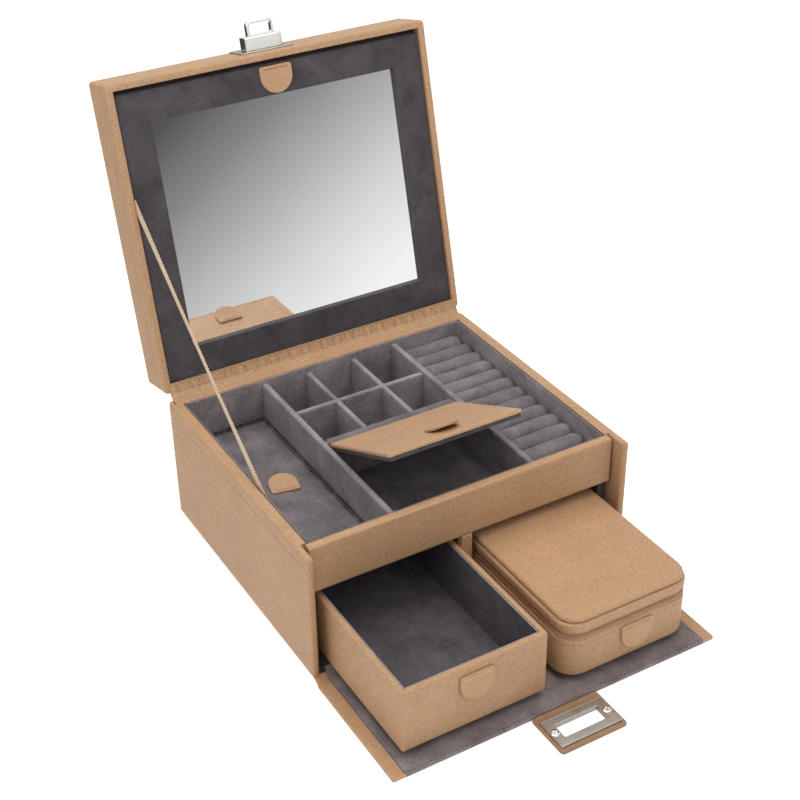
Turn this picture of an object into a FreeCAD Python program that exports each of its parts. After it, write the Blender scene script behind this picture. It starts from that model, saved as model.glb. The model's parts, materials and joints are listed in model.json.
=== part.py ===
# Jewellery case: leather-covered box with a mirror lid, a fitted tray, a drawer,
# a travel case and a drop-down front flap. Shown open, as it stands on a table.
# Millimetres. X runs across the front, +Y to the back, +Z up. The origin is the
# centre of the underside of the base pad, on the table.
import FreeCAD, Part
import math
import os

V = FreeCAD.Vector
os.makedirs("parts", exist_ok=True)

# Carcass
caseWidth = 260.0
caseDepth = 224.0
wallHeight = 100.3          # outer walls, from their lower edge to the rim
standOff = 4.5              # walls' lower edge above the table
sideWall = 9.4
backWall = 9.1
cheekWall = 5.5             # side walls thin down in front of the rail
cornerRadius = 3.0          # back corners, seen from above
padCorner = 7.0
rimRound = 2.0              # leather turned over the outer rim
padInset = 8.0
baseBoard = 4.5
baseSetBack = 1.5           # front edge of the base board behind the cheeks

# Front
railSetBack = 10.5
railHeight = 38.0
railThick = 6.8
railEndGap = 1.8            # open slot between the rail's ends and the cheeks
stileThick = 1.2            # cloth-covered strips beside the bays, behind the rail's ends
postWidth = 8.8
bayWall = 3.6
partitionWidth = 8.8

# Tray
trayDepth = 39.0            # rim to lined floor
trayFloor = 3.0
liningThick = 0.8
linerThick = 1.0
linerDrop = 0.9             # liner's top edge below the rim
longDividerDrop = 3.5
lowDividerDrop = 5.5
longDividerThick = 4.6
lowDividerThick = 4.0
leftDividerX = -54.5
rightDividerX = 60.0
columnX = (-17.0, 23.0)     # short dividers
crossDividerY = 55.0
frontRowWallY = 8.5
frontRowWallThick = 4.5

# Ring pad
rollCount = 13
rollTopDrop = 10.3          # crown of the rolls below the rim
rollGap = 0.6
rollEndGap = 0.8            # between the rolls and the right wall
padSlabTop = 84.0

# Lift-out insert in the left compartment
insertGap = 0.5
insertBoard = 2.2
insertEdge = 4.6            # upturned pinked edge
pinkPitch = 5.0
pinkDepth = 1.8
insertTabX = -86.0
insertTabY = 6.5
insertTabTurn = -11.0

# Compartment cover
coverTilt = 25.5
coverLength = 93.6
coverGap = 1.15             # to the dividers at each side
coverHingeY = 0.5
coverHingeDrop = 8.5        # cover's lower back edge below the rim
coverLeather = 3.4
coverPad = 2.8              # suede panel under the leather
coverPadInset = 1.0
coverRound = 1.2
coverTabReach = 26.5        # tab's sewn edge, from the cover's front edge
ledgeDepth = 3.0
ledgeHeight = 8.0

# Lid
lidLength = 232.1
lidHeight = 36.4
lidWall = 5.5
lidFrontWall = 6.0
lidPanel = 4.0
lidGap = 0.3                # between the closed lid and the rim
lidOpenAngle = 103.5
hingeOut = 2.8              # lid hinge axis behind the back wall
hingeRise = 0.6             # and above the rim
lidLining = 1.0
lidRound = 2.5
hingeLap = 5.0              # hinge leather glued to the rim of the back wall
hingeBend = 1.5             # its bend, in from the back face
hingeEdge = 0.5             # from the edges of the lid's wall
hingeSkin = 0.7

# Mirror door in the lid
doorGap = 0.6
doorStart = 6.0             # from the lid's hinge edge
doorEndGap = 9.2            # door's free edge to the lid's front
doorRecess = 2.1            # below the lid's rim plane
doorThick = 6.9
doorCorner = 3.0
mirrorSideBorder = 23.6      # frame beside the glass
mirrorLowBorder = 23.8
mirrorTopBorder = 22.5
mirrorRecess = 3.9
mirrorThick = 3.0
mirrorOverlap = 3.0         # glass held behind the frame
backingThick = 2.0
backingInset = 9.0
doorLedge = 6.0
doorLedgeHeight = 5.0
tapeThick = 0.25
tapeReach = 6.0             # hinge tape on the door's face
tapeRise = 1.9              # and on the lid's wall

# Catch on the lid and strike on the flap
latchX = 1.0
catchPlateWidth = 43.0
catchPlateHeight = 25.0
catchPlateThick = 1.0
catchPlateStart = 8.0       # above the lid's rim plane
lockWidth = 30.4
lockHeight = 10.5
lockDepth = 10.0
lockCentre = 18.5
loopWidth = 22.0
loopHeight = 11.0
loopThick = 4.6
loopBar = 2.6
loopCorner = 4.0
loopFoot = 1.4              # bar on the lock box
stemTuck = 0.5              # stem set into the bar
stemRadius = 2.2
stemLength = 4.0
turnGap = 0.2
runningFit = 0.05
rivetRadius = 1.5
rivetSpacing = 36.0

# Flap
flapThick = 3.0
flapLining = 0.6
flapLength = 106.9          # from the cheeks' front faces to its free edge
flapBorder = 9.6            # leather strips beside the suede
flapAxisOut = 4.0           # hinge axis in front of the cheeks
flapAxisHeight = 1.0
flapStart = 1.2             # board starts this far in front of the axis
hingeLeather = 1.2
hingeTuck = 15.0            # hinge leather glued under the base board
hingeSideGap = 1.0          # its ends, in from the sides
tongueWidth = 53.0
tongueLength = 36.0
tongueThick = 2.8
tongueCorner = 3.0
strikeWidth = 49.5
strikeHeight = 25.5
strikeThick = 1.2
slotWidth = 34.5
slotHeight = 12.3
ferruleWall = 1.0
screwSpacing = 41.8
screwHead = 3.1
screwHeadHeight = 0.5
screwShank = 1.0            # radius
screwTip = 0.6              # above the tongue's underside
crossReach = 1.6            # arms of the cross recess
crossWidth = 0.6
crossDepth = 0.3

# Leather pull tabs
tabWidth = 26.0
tabLength = 20.5
tabThick = 2.0
tabCorner = 2.0

# Drawer
bayClearance = 1.0
liftClearance = 0.3
drawerHeight = 49.7
drawerLength = 196.0
drawerOut = 105.5           # drawn out from flush with the rail
drawerWall = 4.2
drawerBottom = 3.0
drawerLinerDrop = 0.8
drawerTabDrop = 6.5

# Travel case
travelGap = 5.0             # to the partition
travelSideGap = 1.0         # to the bay wall
travelLength = 197.0
travelHeight = 50.2
travelOut = 106.5
travelCorner = 16.0
travelBaseHeight = 30.6
zipBand = 6.4
zipInset = 0.9
travelWall = 3.6
travelTop = 3.5
travelTopRound = 6.0        # padded top
grooveRise = 4.2            # seam under the padded top, above the zip
grooveWidth = 1.2
grooveDepth = 1.2
teethHeight = 2.6
teethProud = 0.7
travelLining = 0.8
travelTabDrop = 2.2         # tab below the base's top edge
travelTabShift = 4.5        # tab's middle, right of the case's
sliderWidth = 9.0
sliderHeight = 6.0
sliderThick = 2.6
sliderGap = 0.2
pullLength = 18.0
pullWidth = 6.0
pullThick = 1.2

# Ribbon stay
ribbonWidth = 8.0
ribbonThick = 0.6
ribbonCaseY = -30.0
ribbonLidU = 147.0
ribbonLidW = 2.4

# Worked out from the sizes above
halfWidth = caseWidth / 2
frontY = -caseDepth / 2
backY = caseDepth / 2
rimZ = standOff + wallHeight
bayFloorZ = standOff + baseBoard
railY = frontY + railSetBack
railBackY = railY + railThick
railBottomZ = rimZ - railHeight
innerX = halfWidth - sideWall
innerBackY = backY - backWall
cheekX = halfWidth - cheekWall
trayTopZ = rimZ - trayDepth             # top of the floor lining
floorTopZ = trayTopZ - liningThick
floorZ = floorTopZ - trayFloor
linerX = innerX - linerThick
linerFrontY = railBackY + linerThick
linerBackY = innerBackY - linerThick
linerTopZ = rimZ - linerDrop
longTopZ = rimZ - longDividerDrop
lowTopZ = rimZ - lowDividerDrop
leftDividerRight = leftDividerX + longDividerThick / 2
rightDividerLeft = rightDividerX - longDividerThick / 2
frontRowBackY = frontRowWallY + frontRowWallThick / 2
frontRowFaceY = frontRowWallY - frontRowWallThick / 2
hingeY = backY + hingeOut
hingeZ = rimZ + hingeRise
lidRimZ = rimZ + lidGap
lidFrontY = backY - lidLength
coverHingeZ = rimZ - coverHingeDrop
doorLength = lidLength - doorStart - doorEndGap
doorHalfWidth = halfWidth - lidWall - doorGap
mirrorHalfWidth = doorHalfWidth - mirrorSideBorder
mirrorStart = doorStart + mirrorLowBorder
mirrorEnd = doorStart + doorLength - mirrorTopBorder
flapAxisY = frontY - flapAxisOut
flapBackY = flapAxisY - flapStart
flapFrontY = frontY - flapLength
slotY = flapAxisY - (lidRimZ + lockCentre - flapAxisHeight)


def box(x0, x1, y0, y1, z0, z1):
    return Part.makeBox(x1 - x0, y1 - y0, z1 - z0, V(x0, y0, z0))


def mirrored_pair(shape):
    """A solid and its twin on the other side of the middle plane."""
    return Part.makeCompound([shape, shape.mirror(V(0, 0, 0), V(1, 0, 0))])


def rounded_block(x0, x1, y0, y1, z0, z1, radius, corners="all"):
    """A block with its upright corners rounded, all four or the back pair."""
    block = box(x0, x1, y0, y1, z0, z1)
    edges = []
    for edge in block.Edges:
        ends = [vertex.Point for vertex in edge.Vertexes]
        upright = abs(ends[0].z - ends[1].z) > 1e-6
        at_back = ends[0].y > (y0 + y1) / 2
        if upright and (corners == "all" or at_back):
            edges.append(edge)
    return block.makeFillet(radius, edges)


def edges_at_height(shape, z, keep):
    """Edges that lie in the plane at height z and satisfy keep(edge)."""
    chosen = []
    for edge in shape.Edges:
        low, high = edge.BoundBox.ZMin, edge.BoundBox.ZMax
        if abs(low - z) < 1e-4 and abs(high - z) < 1e-4 and keep(edge):
            chosen.append(edge)
    return chosen


def outer_rim(shape, z, radius, inset):
    """Round the edges of the top face at z that lie within inset of the outside."""
    bounds = shape.BoundBox

    def near_outside(edge):
        middle = edge.valueAt((edge.FirstParameter + edge.LastParameter) / 2)
        across = min(middle.x - bounds.XMin, bounds.XMax - middle.x)
        along = min(middle.y - bounds.YMin, bounds.YMax - middle.y)
        return min(across, along) < inset
    return shape.makeFillet(radius, edges_at_height(shape, z, near_outside))


def pull_tab():
    """A D-shaped tab: sewn edge along X at the origin, hanging down, thickness towards -Y."""
    half = tabWidth / 2
    shoulder = tabLength - half
    cut = tabCorner
    bulge = cut * (1 - math.sqrt(0.5))      # middle of a quarter arc
    points = [V(-half, 0, -shoulder), V(-half, 0, -cut), V(-half + cut, 0, 0),
              V(half - cut, 0, 0), V(half, 0, -cut), V(half, 0, -shoulder)]
    edges = [
        Part.LineSegment(points[0], points[1]).toShape(),
        Part.Arc(points[1], V(-half + bulge, 0, -bulge), points[2]).toShape(),
        Part.LineSegment(points[2], points[3]).toShape(),
        Part.Arc(points[3], V(half - bulge, 0, -bulge), points[4]).toShape(),
        Part.LineSegment(points[4], points[5]).toShape(),
        Part.Arc(points[5], V(0, 0, -tabLength), points[0]).toShape(),
    ]
    return Part.Face(Part.Wire(edges)).extrude(V(0, -tabThick, 0))


def flat_tab(towards_back):
    """The same tab laid flat on Z = 0, its sewn edge at the origin."""
    tab = pull_tab()
    tab.rotate(V(0, 0, 0), V(1, 0, 0), -90)
    if towards_back:
        tab.rotate(V(0, 0, 0), V(0, 0, 1), 180)
    tab.translate(V(0, 0, -tab.BoundBox.ZMin))
    return tab


def open_lid(shape):
    """Swing a piece of the closed lid up to where the case stands open."""
    shape.rotate(V(0, hingeY, hingeZ), V(1, 0, 0), -lidOpenAngle)
    return shape


def raise_cover(shape):
    shape.rotate(V(0, coverHingeY, coverHingeZ), V(1, 0, 0), -coverTilt)
    return shape


def lid_box(x0, x1, u0, u1, w0, w1):
    """A block in the closed lid: u from its hinge edge, w up from its rim plane."""
    return box(x0, x1, backY - u1, backY - u0, lidRimZ + w0, lidRimZ + w1)


def lid_point(x, u, w):
    """Where a point of the lid lies when the lid stands open."""
    point = V(0, backY - u - hingeY, lidRimZ + w - hingeZ)
    turn = math.radians(-lidOpenAngle)
    return V(x, hingeY + point.y * math.cos(turn) - point.z * math.sin(turn),
             hingeZ + point.y * math.sin(turn) + point.z * math.cos(turn))


# Carcass
def case_shell():
    outer = rounded_block(-halfWidth, halfWidth, frontY, backY, standOff, rimZ,
                          cornerRadius, "back")
    outer = outer_rim(outer, rimZ, rimRound, 1.0)
    hollow = box(-innerX, innerX, railBackY, innerBackY, standOff - 1, rimZ + 1)
    mouth = box(-cheekX, cheekX, frontY - 1, railBackY, standOff - 1, rimZ + 1)
    return outer.cut(hollow).cut(mouth)


def base_board():
    deep = box(-innerX, innerX, railBackY, innerBackY, standOff, bayFloorZ)
    front = box(-cheekX, cheekX, frontY + baseSetBack, railBackY, standOff, bayFloorZ)
    return deep.fuse(front).removeSplitter()


def base_pad():
    pad = rounded_block(-halfWidth + padInset, halfWidth - padInset, frontY + padInset,
                        backY - padInset, 0, standOff, padCorner)
    tuck = box(-halfWidth, halfWidth, frontY, frontY + hingeTuck,
               standOff - hingeLeather, standOff)
    return pad.cut(tuck)


def front_rail():
    half = cheekX - railEndGap
    rail = box(-half, half, railY, railBackY, railBottomZ, rimZ)
    front_edges = edges_at_height(rail, rimZ, lambda e: e.BoundBox.YMax < railY + 1e-4)
    return rail.makeFillet(rimRound, front_edges)


def face_stiles():
    stile = box(innerX - bayWall, cheekX, railBackY - stileThick, railBackY, bayFloorZ,
                railBottomZ)
    return mirrored_pair(stile)


def centre_post():
    return box(-postWidth / 2, postWidth / 2, railY, railBackY, bayFloorZ, railBottomZ)


def bay_walls():
    wall = box(innerX - bayWall, innerX, railBackY, innerBackY, bayFloorZ, floorZ)
    return mirrored_pair(wall)


def bay_partition():
    half = partitionWidth / 2
    return box(-half, half, railBackY, innerBackY, bayFloorZ, floorZ)


# Tray
def tray_floor():
    return box(-innerX, innerX, railBackY, innerBackY, floorZ, floorTopZ)


def tray_floor_lining():
    return box(-innerX, innerX, railBackY, innerBackY, floorTopZ, trayTopZ)


def tray_liner():
    outer = box(-innerX, innerX, railBackY, innerBackY, trayTopZ, linerTopZ)
    inner = box(-linerX, linerX, linerFrontY, linerBackY, trayTopZ - 1, linerTopZ + 1)
    return outer.cut(inner)


def long_divider(x):
    half = longDividerThick / 2
    return box(x - half, x + half, linerFrontY, linerBackY, trayTopZ, longTopZ)


def front_row_wall():
    return box(leftDividerRight, rightDividerLeft, frontRowFaceY, frontRowBackY,
               trayTopZ, lowTopZ)


def lap_height():
    return (trayTopZ + lowTopZ) / 2


def cross_divider():
    half = lowDividerThick / 2
    wall = box(leftDividerRight, rightDividerLeft, crossDividerY - half,
               crossDividerY + half, trayTopZ, lowTopZ)
    for x in columnX:
        wall = wall.cut(box(x - half, x + half, crossDividerY - half - 1,
                            crossDividerY + half + 1, lap_height(), lowTopZ + 1))
    return wall


def short_dividers():
    half = lowDividerThick / 2
    walls = []
    for x in columnX:
        wall = box(x - half, x + half, frontRowBackY, linerBackY, trayTopZ, lowTopZ)
        lap = box(x - half - 1, x + half + 1, crossDividerY - half, crossDividerY + half,
                  trayTopZ - 1, lap_height())
        walls.append(wall.cut(lap))
    return Part.makeCompound(walls)


def cover_ledge():
    return box(leftDividerRight, rightDividerLeft, linerFrontY, linerFrontY + ledgeDepth,
               coverHingeZ - liftClearance - ledgeHeight, coverHingeZ - liftClearance)


def ring_pad():
    """A foam slab with a row of round-topped rolls, their right ends domed."""
    x0 = rightDividerX + longDividerThick / 2
    x1 = linerX
    pitch = (linerBackY - linerFrontY) / rollCount
    radius = (pitch - rollGap) / 2
    crown = rimZ - rollTopDrop
    centre_z = crown - radius
    end_x = x1 - rollEndGap - radius
    pad = box(x0, x1, linerFrontY, linerBackY, trayTopZ, padSlabTop)
    for index in range(rollCount):
        y = linerFrontY + pitch * (index + 0.5)
        stem = box(x0, end_x, y - radius, y + radius, padSlabTop - 1, centre_z)
        stem_end = Part.makeCylinder(radius, centre_z - padSlabTop + 1,
                                     V(end_x, y, padSlabTop - 1))
        bar = Part.makeCylinder(radius, end_x - x0, V(x0, y, centre_z), V(1, 0, 0))
        dome = Part.makeSphere(radius, V(end_x, y, centre_z))
        pad = pad.fuse([stem, stem_end, bar, dome])
    return pad.removeSplitter()


# Lift-out insert
insertX0 = -linerX + insertGap
insertX1 = leftDividerX - longDividerThick / 2 - insertGap
insertY0 = linerFrontY + insertGap
insertY1 = linerBackY - insertGap
insertZ = trayTopZ + liftClearance
insertTopZ = insertZ + insertBoard


def insert_board():
    return box(insertX0 + liningThick, insertX1 - liningThick, insertY0 + liningThick,
               insertY1 - liningThick, insertZ, insertTopZ)


def pinked_strip(start, along, across, length):
    """An upright strip whose top edge is cut in zigzags, from start in direction along."""
    teeth = max(2, round(length / pinkPitch))
    step = length / teeth
    low = insertEdge - pinkDepth
    points = [start]
    for index in range(teeth):
        points.append(start + along * (step * index) + V(0, 0, low))
        points.append(start + along * (step * (index + 0.5)) + V(0, 0, insertEdge))
    points.append(start + along * length + V(0, 0, low))
    points.append(start + along * length)
    points.append(start)
    return Part.Face(Part.makePolygon(points)).extrude(across * liningThick)


def insert_suede():
    """Suede over the insert board, its pinked edges turned up against the walls."""
    sheet = box(insertX0, insertX1, insertY0, insertY1, insertTopZ, insertTopZ + liningThick)
    width = insertX1 - insertX0
    length = insertY1 - insertY0
    base = insertTopZ
    back = pinked_strip(V(insertX0, insertY1, base), V(1, 0, 0), V(0, -1, 0), width)
    right = pinked_strip(V(insertX1, insertY0, base), V(0, 1, 0), V(-1, 0, 0), length)
    left = pinked_strip(V(insertX0, insertY0, base), V(0, 1, 0), V(1, 0, 0), length)
    return sheet.fuse([back, right, left]).removeSplitter()


def insert_tab():
    tab = flat_tab(True)
    tab.rotate(V(0, 0, 0), V(0, 0, 1), insertTabTurn)
    tab.translate(V(insertTabX, insertTabY, insertTopZ + liningThick))
    return tab


# Compartment cover, drawn closed and then raised
coverX0 = leftDividerRight + coverGap
coverX1 = rightDividerLeft - coverGap
coverFrontY = coverHingeY - coverLength
coverTopZ = coverHingeZ + coverPad + coverLeather


def cover_board():
    board = box(coverX0, coverX1, coverFrontY, coverHingeY, coverHingeZ + coverPad, coverTopZ)
    board = board.makeFillet(coverRound, edges_at_height(board, coverTopZ, lambda e: True))
    return raise_cover(board)


def cover_lining():
    inset = coverPadInset
    return raise_cover(box(coverX0 + inset, coverX1 - inset, coverFrontY + inset, coverHingeY,
                           coverHingeZ, coverHingeZ + coverPad))


def cover_tab():
    tab = flat_tab(False)
    middle = (coverX0 + coverX1) / 2
    tab.translate(V(middle, coverFrontY + coverTabReach, coverTopZ))
    return raise_cover(tab)


def cover_hinge_strip():
    """Suede strip from the wall behind the cover to the cover's lower back edge."""
    top = lowTopZ
    points = [V(leftDividerRight + 2, frontRowBackY, top),
              V(leftDividerRight + 2, frontRowBackY, top + liningThick),
              V(leftDividerRight + 2, frontRowFaceY, top + liningThick),
              V(leftDividerRight + 2, coverHingeY, coverHingeZ),
              V(leftDividerRight + 2, coverHingeY + 0.4, coverHingeZ - liningThick),
              V(leftDividerRight + 2, frontRowFaceY, top)]
    face = Part.Face(Part.makePolygon(points + [points[0]]))
    return face.extrude(V(rightDividerLeft - leftDividerRight - 4, 0, 0))


# Lid, drawn closed and then opened
def lid_shell():
    top = lidRimZ + lidHeight
    outer = rounded_block(-halfWidth, halfWidth, lidFrontY, backY, lidRimZ, top, cornerRadius)
    outer = outer_rim(outer, top, lidRound, lidRound + 0.5)
    hollow = lid_box(-halfWidth + lidWall, halfWidth - lidWall, lidWall,
                     lidLength - lidFrontWall, -1, lidHeight - lidPanel)
    shell = outer.cut(hollow)
    return open_lid(shell.cut(catch_rivet_shanks()))


def catch_rivet_shanks():
    """Shanks through the lid's front wall, in the closed lid."""
    shanks = []
    z = lidRimZ + catchPlateStart + catchPlateHeight / 2
    reach = lidFrontWall + catchPlateThick
    for side in (-1, 1):
        start = V(latchX + side * rivetSpacing / 2, lidFrontY - catchPlateThick, z)
        shanks.append(Part.makeCylinder(rivetRadius, reach, start, V(0, 1, 0)))
    return shanks[0].fuse(shanks[1])


def lid_lining():
    return open_lid(lid_box(-halfWidth + lidWall, halfWidth - lidWall, lidWall,
                            lidLength - lidFrontWall, lidHeight - lidPanel - lidLining,
                            lidHeight - lidPanel))


doorBackW = doorRecess + doorThick


def door_ledge():
    """Frame inside the lid that the closed mirror door rests on."""
    w0 = doorBackW + liftClearance
    w1 = w0 + doorLedgeHeight
    x = halfWidth - lidWall
    outer = lid_box(-x, x, lidWall, lidLength - lidFrontWall, w0, w1)
    inner = lid_box(-x + doorLedge, x - doorLedge, lidWall + doorLedge,
                    lidLength - lidFrontWall - doorLedge - 1.5, w0 - 1, w1 + 1)
    return open_lid(outer.cut(inner))


def door_hinge_tape():
    """Suede tape up the lid's wall and over the door's edge; the door swings about its bend."""
    x = doorHalfWidth - doorLedge
    on_door = lid_box(-x, x, lidWall, doorStart + tapeReach, doorRecess - tapeThick, doorRecess)
    on_wall = lid_box(-x, x, lidWall, lidWall + tapeThick, doorRecess - tapeRise, doorRecess)
    return open_lid(on_door.fuse(on_wall).removeSplitter())


def mirror_frame():
    x = doorHalfWidth
    frame = rounded_block(-x, x, backY - doorStart - doorLength, backY - doorStart,
                          lidRimZ + doorRecess, lidRimZ + doorBackW, doorCorner)
    half = mirrorHalfWidth
    window = lid_box(-half, half, mirrorStart, mirrorEnd, doorRecess - 1, doorBackW + 1)
    rebate = lid_box(-half - mirrorOverlap, half + mirrorOverlap, mirrorStart - mirrorOverlap,
                     mirrorEnd + mirrorOverlap, doorRecess + mirrorRecess, doorBackW + 1)
    return open_lid(frame.cut(window).cut(rebate))


def mirror_glass():
    half = mirrorHalfWidth + mirrorOverlap
    return open_lid(lid_box(-half, half, mirrorStart - mirrorOverlap, mirrorEnd + mirrorOverlap,
                            doorRecess + mirrorRecess, doorRecess + mirrorRecess + mirrorThick))


def mirror_backing():
    x = doorHalfWidth - backingInset
    return open_lid(lid_box(-x, x, doorStart + backingInset,
                            doorStart + doorLength - backingInset, doorBackW,
                            doorBackW + backingThick))


def mirror_tab():
    tab = flat_tab(True)
    tab.rotate(V(0, 0, 0), V(0, 1, 0), 180)
    tab.translate(V(latchX, backY - doorStart - doorLength + 1.0, lidRimZ + doorRecess))
    return open_lid(tab)


def lid_hinge_leather():
    """Leather across the back of the tray and up the lid's hinge edge."""
    inner = lid_point(0, lidWall - hingeEdge, 0)
    outer = lid_point(0, hingeEdge, 0)
    proud = lid_point(0, lidWall - hingeEdge, -hingeSkin) - inner
    slack = V(0, -0.4, 0.2)
    top = rimZ + hingeSkin
    lower = [V(0, backY - hingeLap, rimZ), V(0, backY - hingeBend, rimZ), outer, inner]
    upper = [inner + proud, outer + proud + slack, V(0, backY - hingeBend - 0.3, top),
             V(0, backY - hingeLap, top)]
    points = [point + V(-halfWidth + cornerRadius, 0, 0) for point in lower + upper]
    face = Part.Face(Part.makePolygon(points + [points[0]]))
    return face.extrude(V(caseWidth - 2 * cornerRadius, 0, 0))


def stay_ribbon():
    """Flat ribbon pulled straight from the tray's left seam to the lid's left wall."""
    start = V(-linerX - linerThick, ribbonCaseY, linerTopZ)
    end = lid_point(-halfWidth + lidWall, ribbonLidU, ribbonLidW)
    run = end - start
    side = V(0, run.z, -run.y)
    side.normalize()
    half = side * (ribbonWidth / 2)
    points = [start - half, start + half, end + half, end - half]
    face = Part.Face(Part.makePolygon(points + [points[0]]))
    ribbon = face.extrude(V(ribbonThick, 0, 0))
    return ribbon.cut([tray_liner(), case_shell(), lid_shell(), mirror_frame()])


# Catch
catchFaceY = lidFrontY - catchPlateThick
lockFaceY = catchFaceY - lockDepth
lockZ = lidRimZ + lockCentre


def catch_plate():
    z0 = lidRimZ + catchPlateStart
    plate = box(latchX - catchPlateWidth / 2, latchX + catchPlateWidth / 2, catchFaceY,
                lidFrontY, z0, z0 + catchPlateHeight)
    return open_lid(plate.cut(catch_rivet_shanks()))


def catch_rivets():
    shanks = catch_rivet_shanks()
    return open_lid(Part.makeCompound(shanks.Solids))


def lock_box():
    body = box(latchX - lockWidth / 2, latchX + lockWidth / 2, lockFaceY, catchFaceY,
               lockZ - lockHeight / 2, lockZ + lockHeight / 2)
    bore = Part.makeCylinder(stemRadius + runningFit, stemLength,
                             V(latchX, lockFaceY, lockZ), V(0, 1, 0))
    return open_lid(body.cut(bore))


def turn_catch():
    """A flat stirrup on a stem, which turns across the strike to hold it."""
    base = lockFaceY - turnGap
    y0 = base - loopHeight
    half = loopThick / 2
    loop = box(latchX - loopWidth / 2, latchX + loopWidth / 2, y0, base, lockZ - half,
               lockZ + half)
    outer_corners = [e for e in loop.Edges if e.BoundBox.ZLength > 1
                     and e.BoundBox.YMax < y0 + 1e-4]
    loop = loop.makeFillet(loopCorner, outer_corners)
    eye = box(latchX - loopWidth / 2 + loopBar, latchX + loopWidth / 2 - loopBar,
              y0 + loopBar, base - loopFoot, lockZ - half - 1, lockZ + half + 1)
    stem = Part.makeCylinder(stemRadius, stemTuck + turnGap + stemLength - runningFit,
                             V(latchX, base - stemTuck, lockZ), V(0, 1, 0))
    return open_lid(loop.cut(eye).fuse(stem).removeSplitter())


# Flap
def flap_board():
    return box(-halfWidth, halfWidth, flapFrontY, flapBackY, 0, flapThick)


def flap_lining():
    x = halfWidth - flapBorder
    return box(-x, x, flapFrontY, flapBackY, flapThick, flapThick + flapLining)


def flap_hinge_leather():
    """Leather from under the base board, down to the back edge of the flap board."""
    top = standOff
    low = 0.4
    profile = [V(0, frontY + hingeTuck, top - hingeLeather), V(0, frontY + hingeTuck, top),
               V(0, frontY - 0.5, top), V(0, flapBackY, low + hingeLeather + 0.6),
               V(0, flapBackY, low), V(0, frontY - 1.5, top - hingeLeather)]
    points = [point + V(-halfWidth + hingeSideGap, 0, 0) for point in profile]
    face = Part.Face(Part.makePolygon(points + [points[0]]))
    return face.extrude(V(caseWidth - 2 * hingeSideGap, 0, 0))


def fold_lining():
    """Suede that runs from the bay floor over the fold to the flap's lining."""
    front = frontY + baseSetBack
    profile = [V(0, front, bayFloorZ), V(0, front, bayFloorZ - 2),
               V(0, flapBackY, flapThick), V(0, flapBackY, flapThick + flapLining)]
    x = halfWidth - flapBorder
    points = [point + V(-x, 0, 0) for point in profile]
    face = Part.Face(Part.makePolygon(points + [points[0]]))
    return face.extrude(V(2 * x, 0, 0))


def slot_block(grow, z0, z1):
    """The strike's slot, grown by a wall."""
    return box(latchX - slotWidth / 2 - grow, latchX + slotWidth / 2 + grow,
               slotY - slotHeight / 2 - grow, slotY + slotHeight / 2 + grow, z0, z1)


def tongue():
    tip = flapFrontY - tongueLength
    board = box(latchX - tongueWidth / 2, latchX + tongueWidth / 2, tip, flapFrontY,
                0, tongueThick)
    corners = [e for e in board.Edges if e.BoundBox.ZLength > 1 and e.BoundBox.YMax < tip + 1e-4]
    board = board.makeFillet(tongueCorner, corners)
    return board.cut(slot_block(ferruleWall, -1, tongueThick + 1)).cut(screw_shanks())


def strike_plate():
    plate = box(latchX - strikeWidth / 2, latchX + strikeWidth / 2, slotY - strikeHeight / 2,
                slotY + strikeHeight / 2, tongueThick, tongueThick + strikeThick)
    ferrule = slot_block(ferruleWall, 0, tongueThick)
    plate = plate.fuse(ferrule).cut(slot_block(0, -1, tongueThick + strikeThick + 1))
    return plate.cut(screw_shanks()).removeSplitter()


def screw_shanks():
    shanks = []
    for side in (-1, 1):
        tip = V(latchX + side * screwSpacing / 2, slotY, screwTip)
        shanks.append(Part.makeCylinder(screwShank, tongueThick + strikeThick - screwTip, tip))
    return shanks[0].fuse(shanks[1])


def strike_screws():
    screws = []
    top = tongueThick + strikeThick
    for shank in screw_shanks().Solids:
        x = shank.BoundBox.Center.x
        head = Part.makeCylinder(screwHead, screwHeadHeight, V(x, slotY, top))
        low = top + screwHeadHeight - crossDepth
        half = crossWidth / 2
        across = box(x - crossReach, x + crossReach, slotY - half, slotY + half, low, low + 1)
        along = box(x - half, x + half, slotY - crossReach, slotY + crossReach, low, low + 1)
        screws.append(shank.fuse(head).cut([across, along]).removeSplitter())
    return Part.makeCompound(screws)


# Drawer
drawerX1 = -partitionWidth / 2 - bayClearance
drawerX0 = -innerX + bayWall + bayClearance
drawerFrontY = railY - drawerOut
drawerZ = bayFloorZ + liftClearance


def open_tray(x0, x1, y0, y1, z0, z1, wall, bottom):
    inner = box(x0 + wall, x1 - wall, y0 + wall, y1 - wall, z0 + bottom, z1 + 1)
    return box(x0, x1, y0, y1, z0, z1).cut(inner)


def drawer_box():
    return open_tray(drawerX0, drawerX1, drawerFrontY, drawerFrontY + drawerLength, drawerZ,
                     drawerZ + drawerHeight, drawerWall, drawerBottom)


def drawer_liner():
    grow = drawerWall
    return open_tray(drawerX0 + grow, drawerX1 - grow, drawerFrontY + grow,
                     drawerFrontY + drawerLength - grow, drawerZ + drawerBottom,
                     drawerZ + drawerHeight - drawerLinerDrop, liningThick, liningThick)


def drawer_tab():
    tab = pull_tab()
    tab.translate(V((drawerX0 + drawerX1) / 2, drawerFrontY,
                    drawerZ + drawerHeight - drawerTabDrop))
    return tab


# Travel case
travelX0 = partitionWidth / 2 + travelGap
travelX1 = innerX - bayWall - travelSideGap
travelX = (travelX0 + travelX1) / 2
travelFrontY = railY - travelOut
travelBackY = travelFrontY + travelLength
travelZ = bayFloorZ + liftClearance
travelSplitZ = travelZ + travelBaseHeight
travelLidZ = travelSplitZ + zipBand
travelTopZ = travelZ + travelHeight


def travel_block(inset, z0, z1):
    """The travel case's outline, drawn in by inset, between two heights."""
    return rounded_block(travelX0 + inset, travelX1 - inset, travelFrontY + inset,
                         travelBackY - inset, z0, z1, travelCorner - inset)


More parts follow.
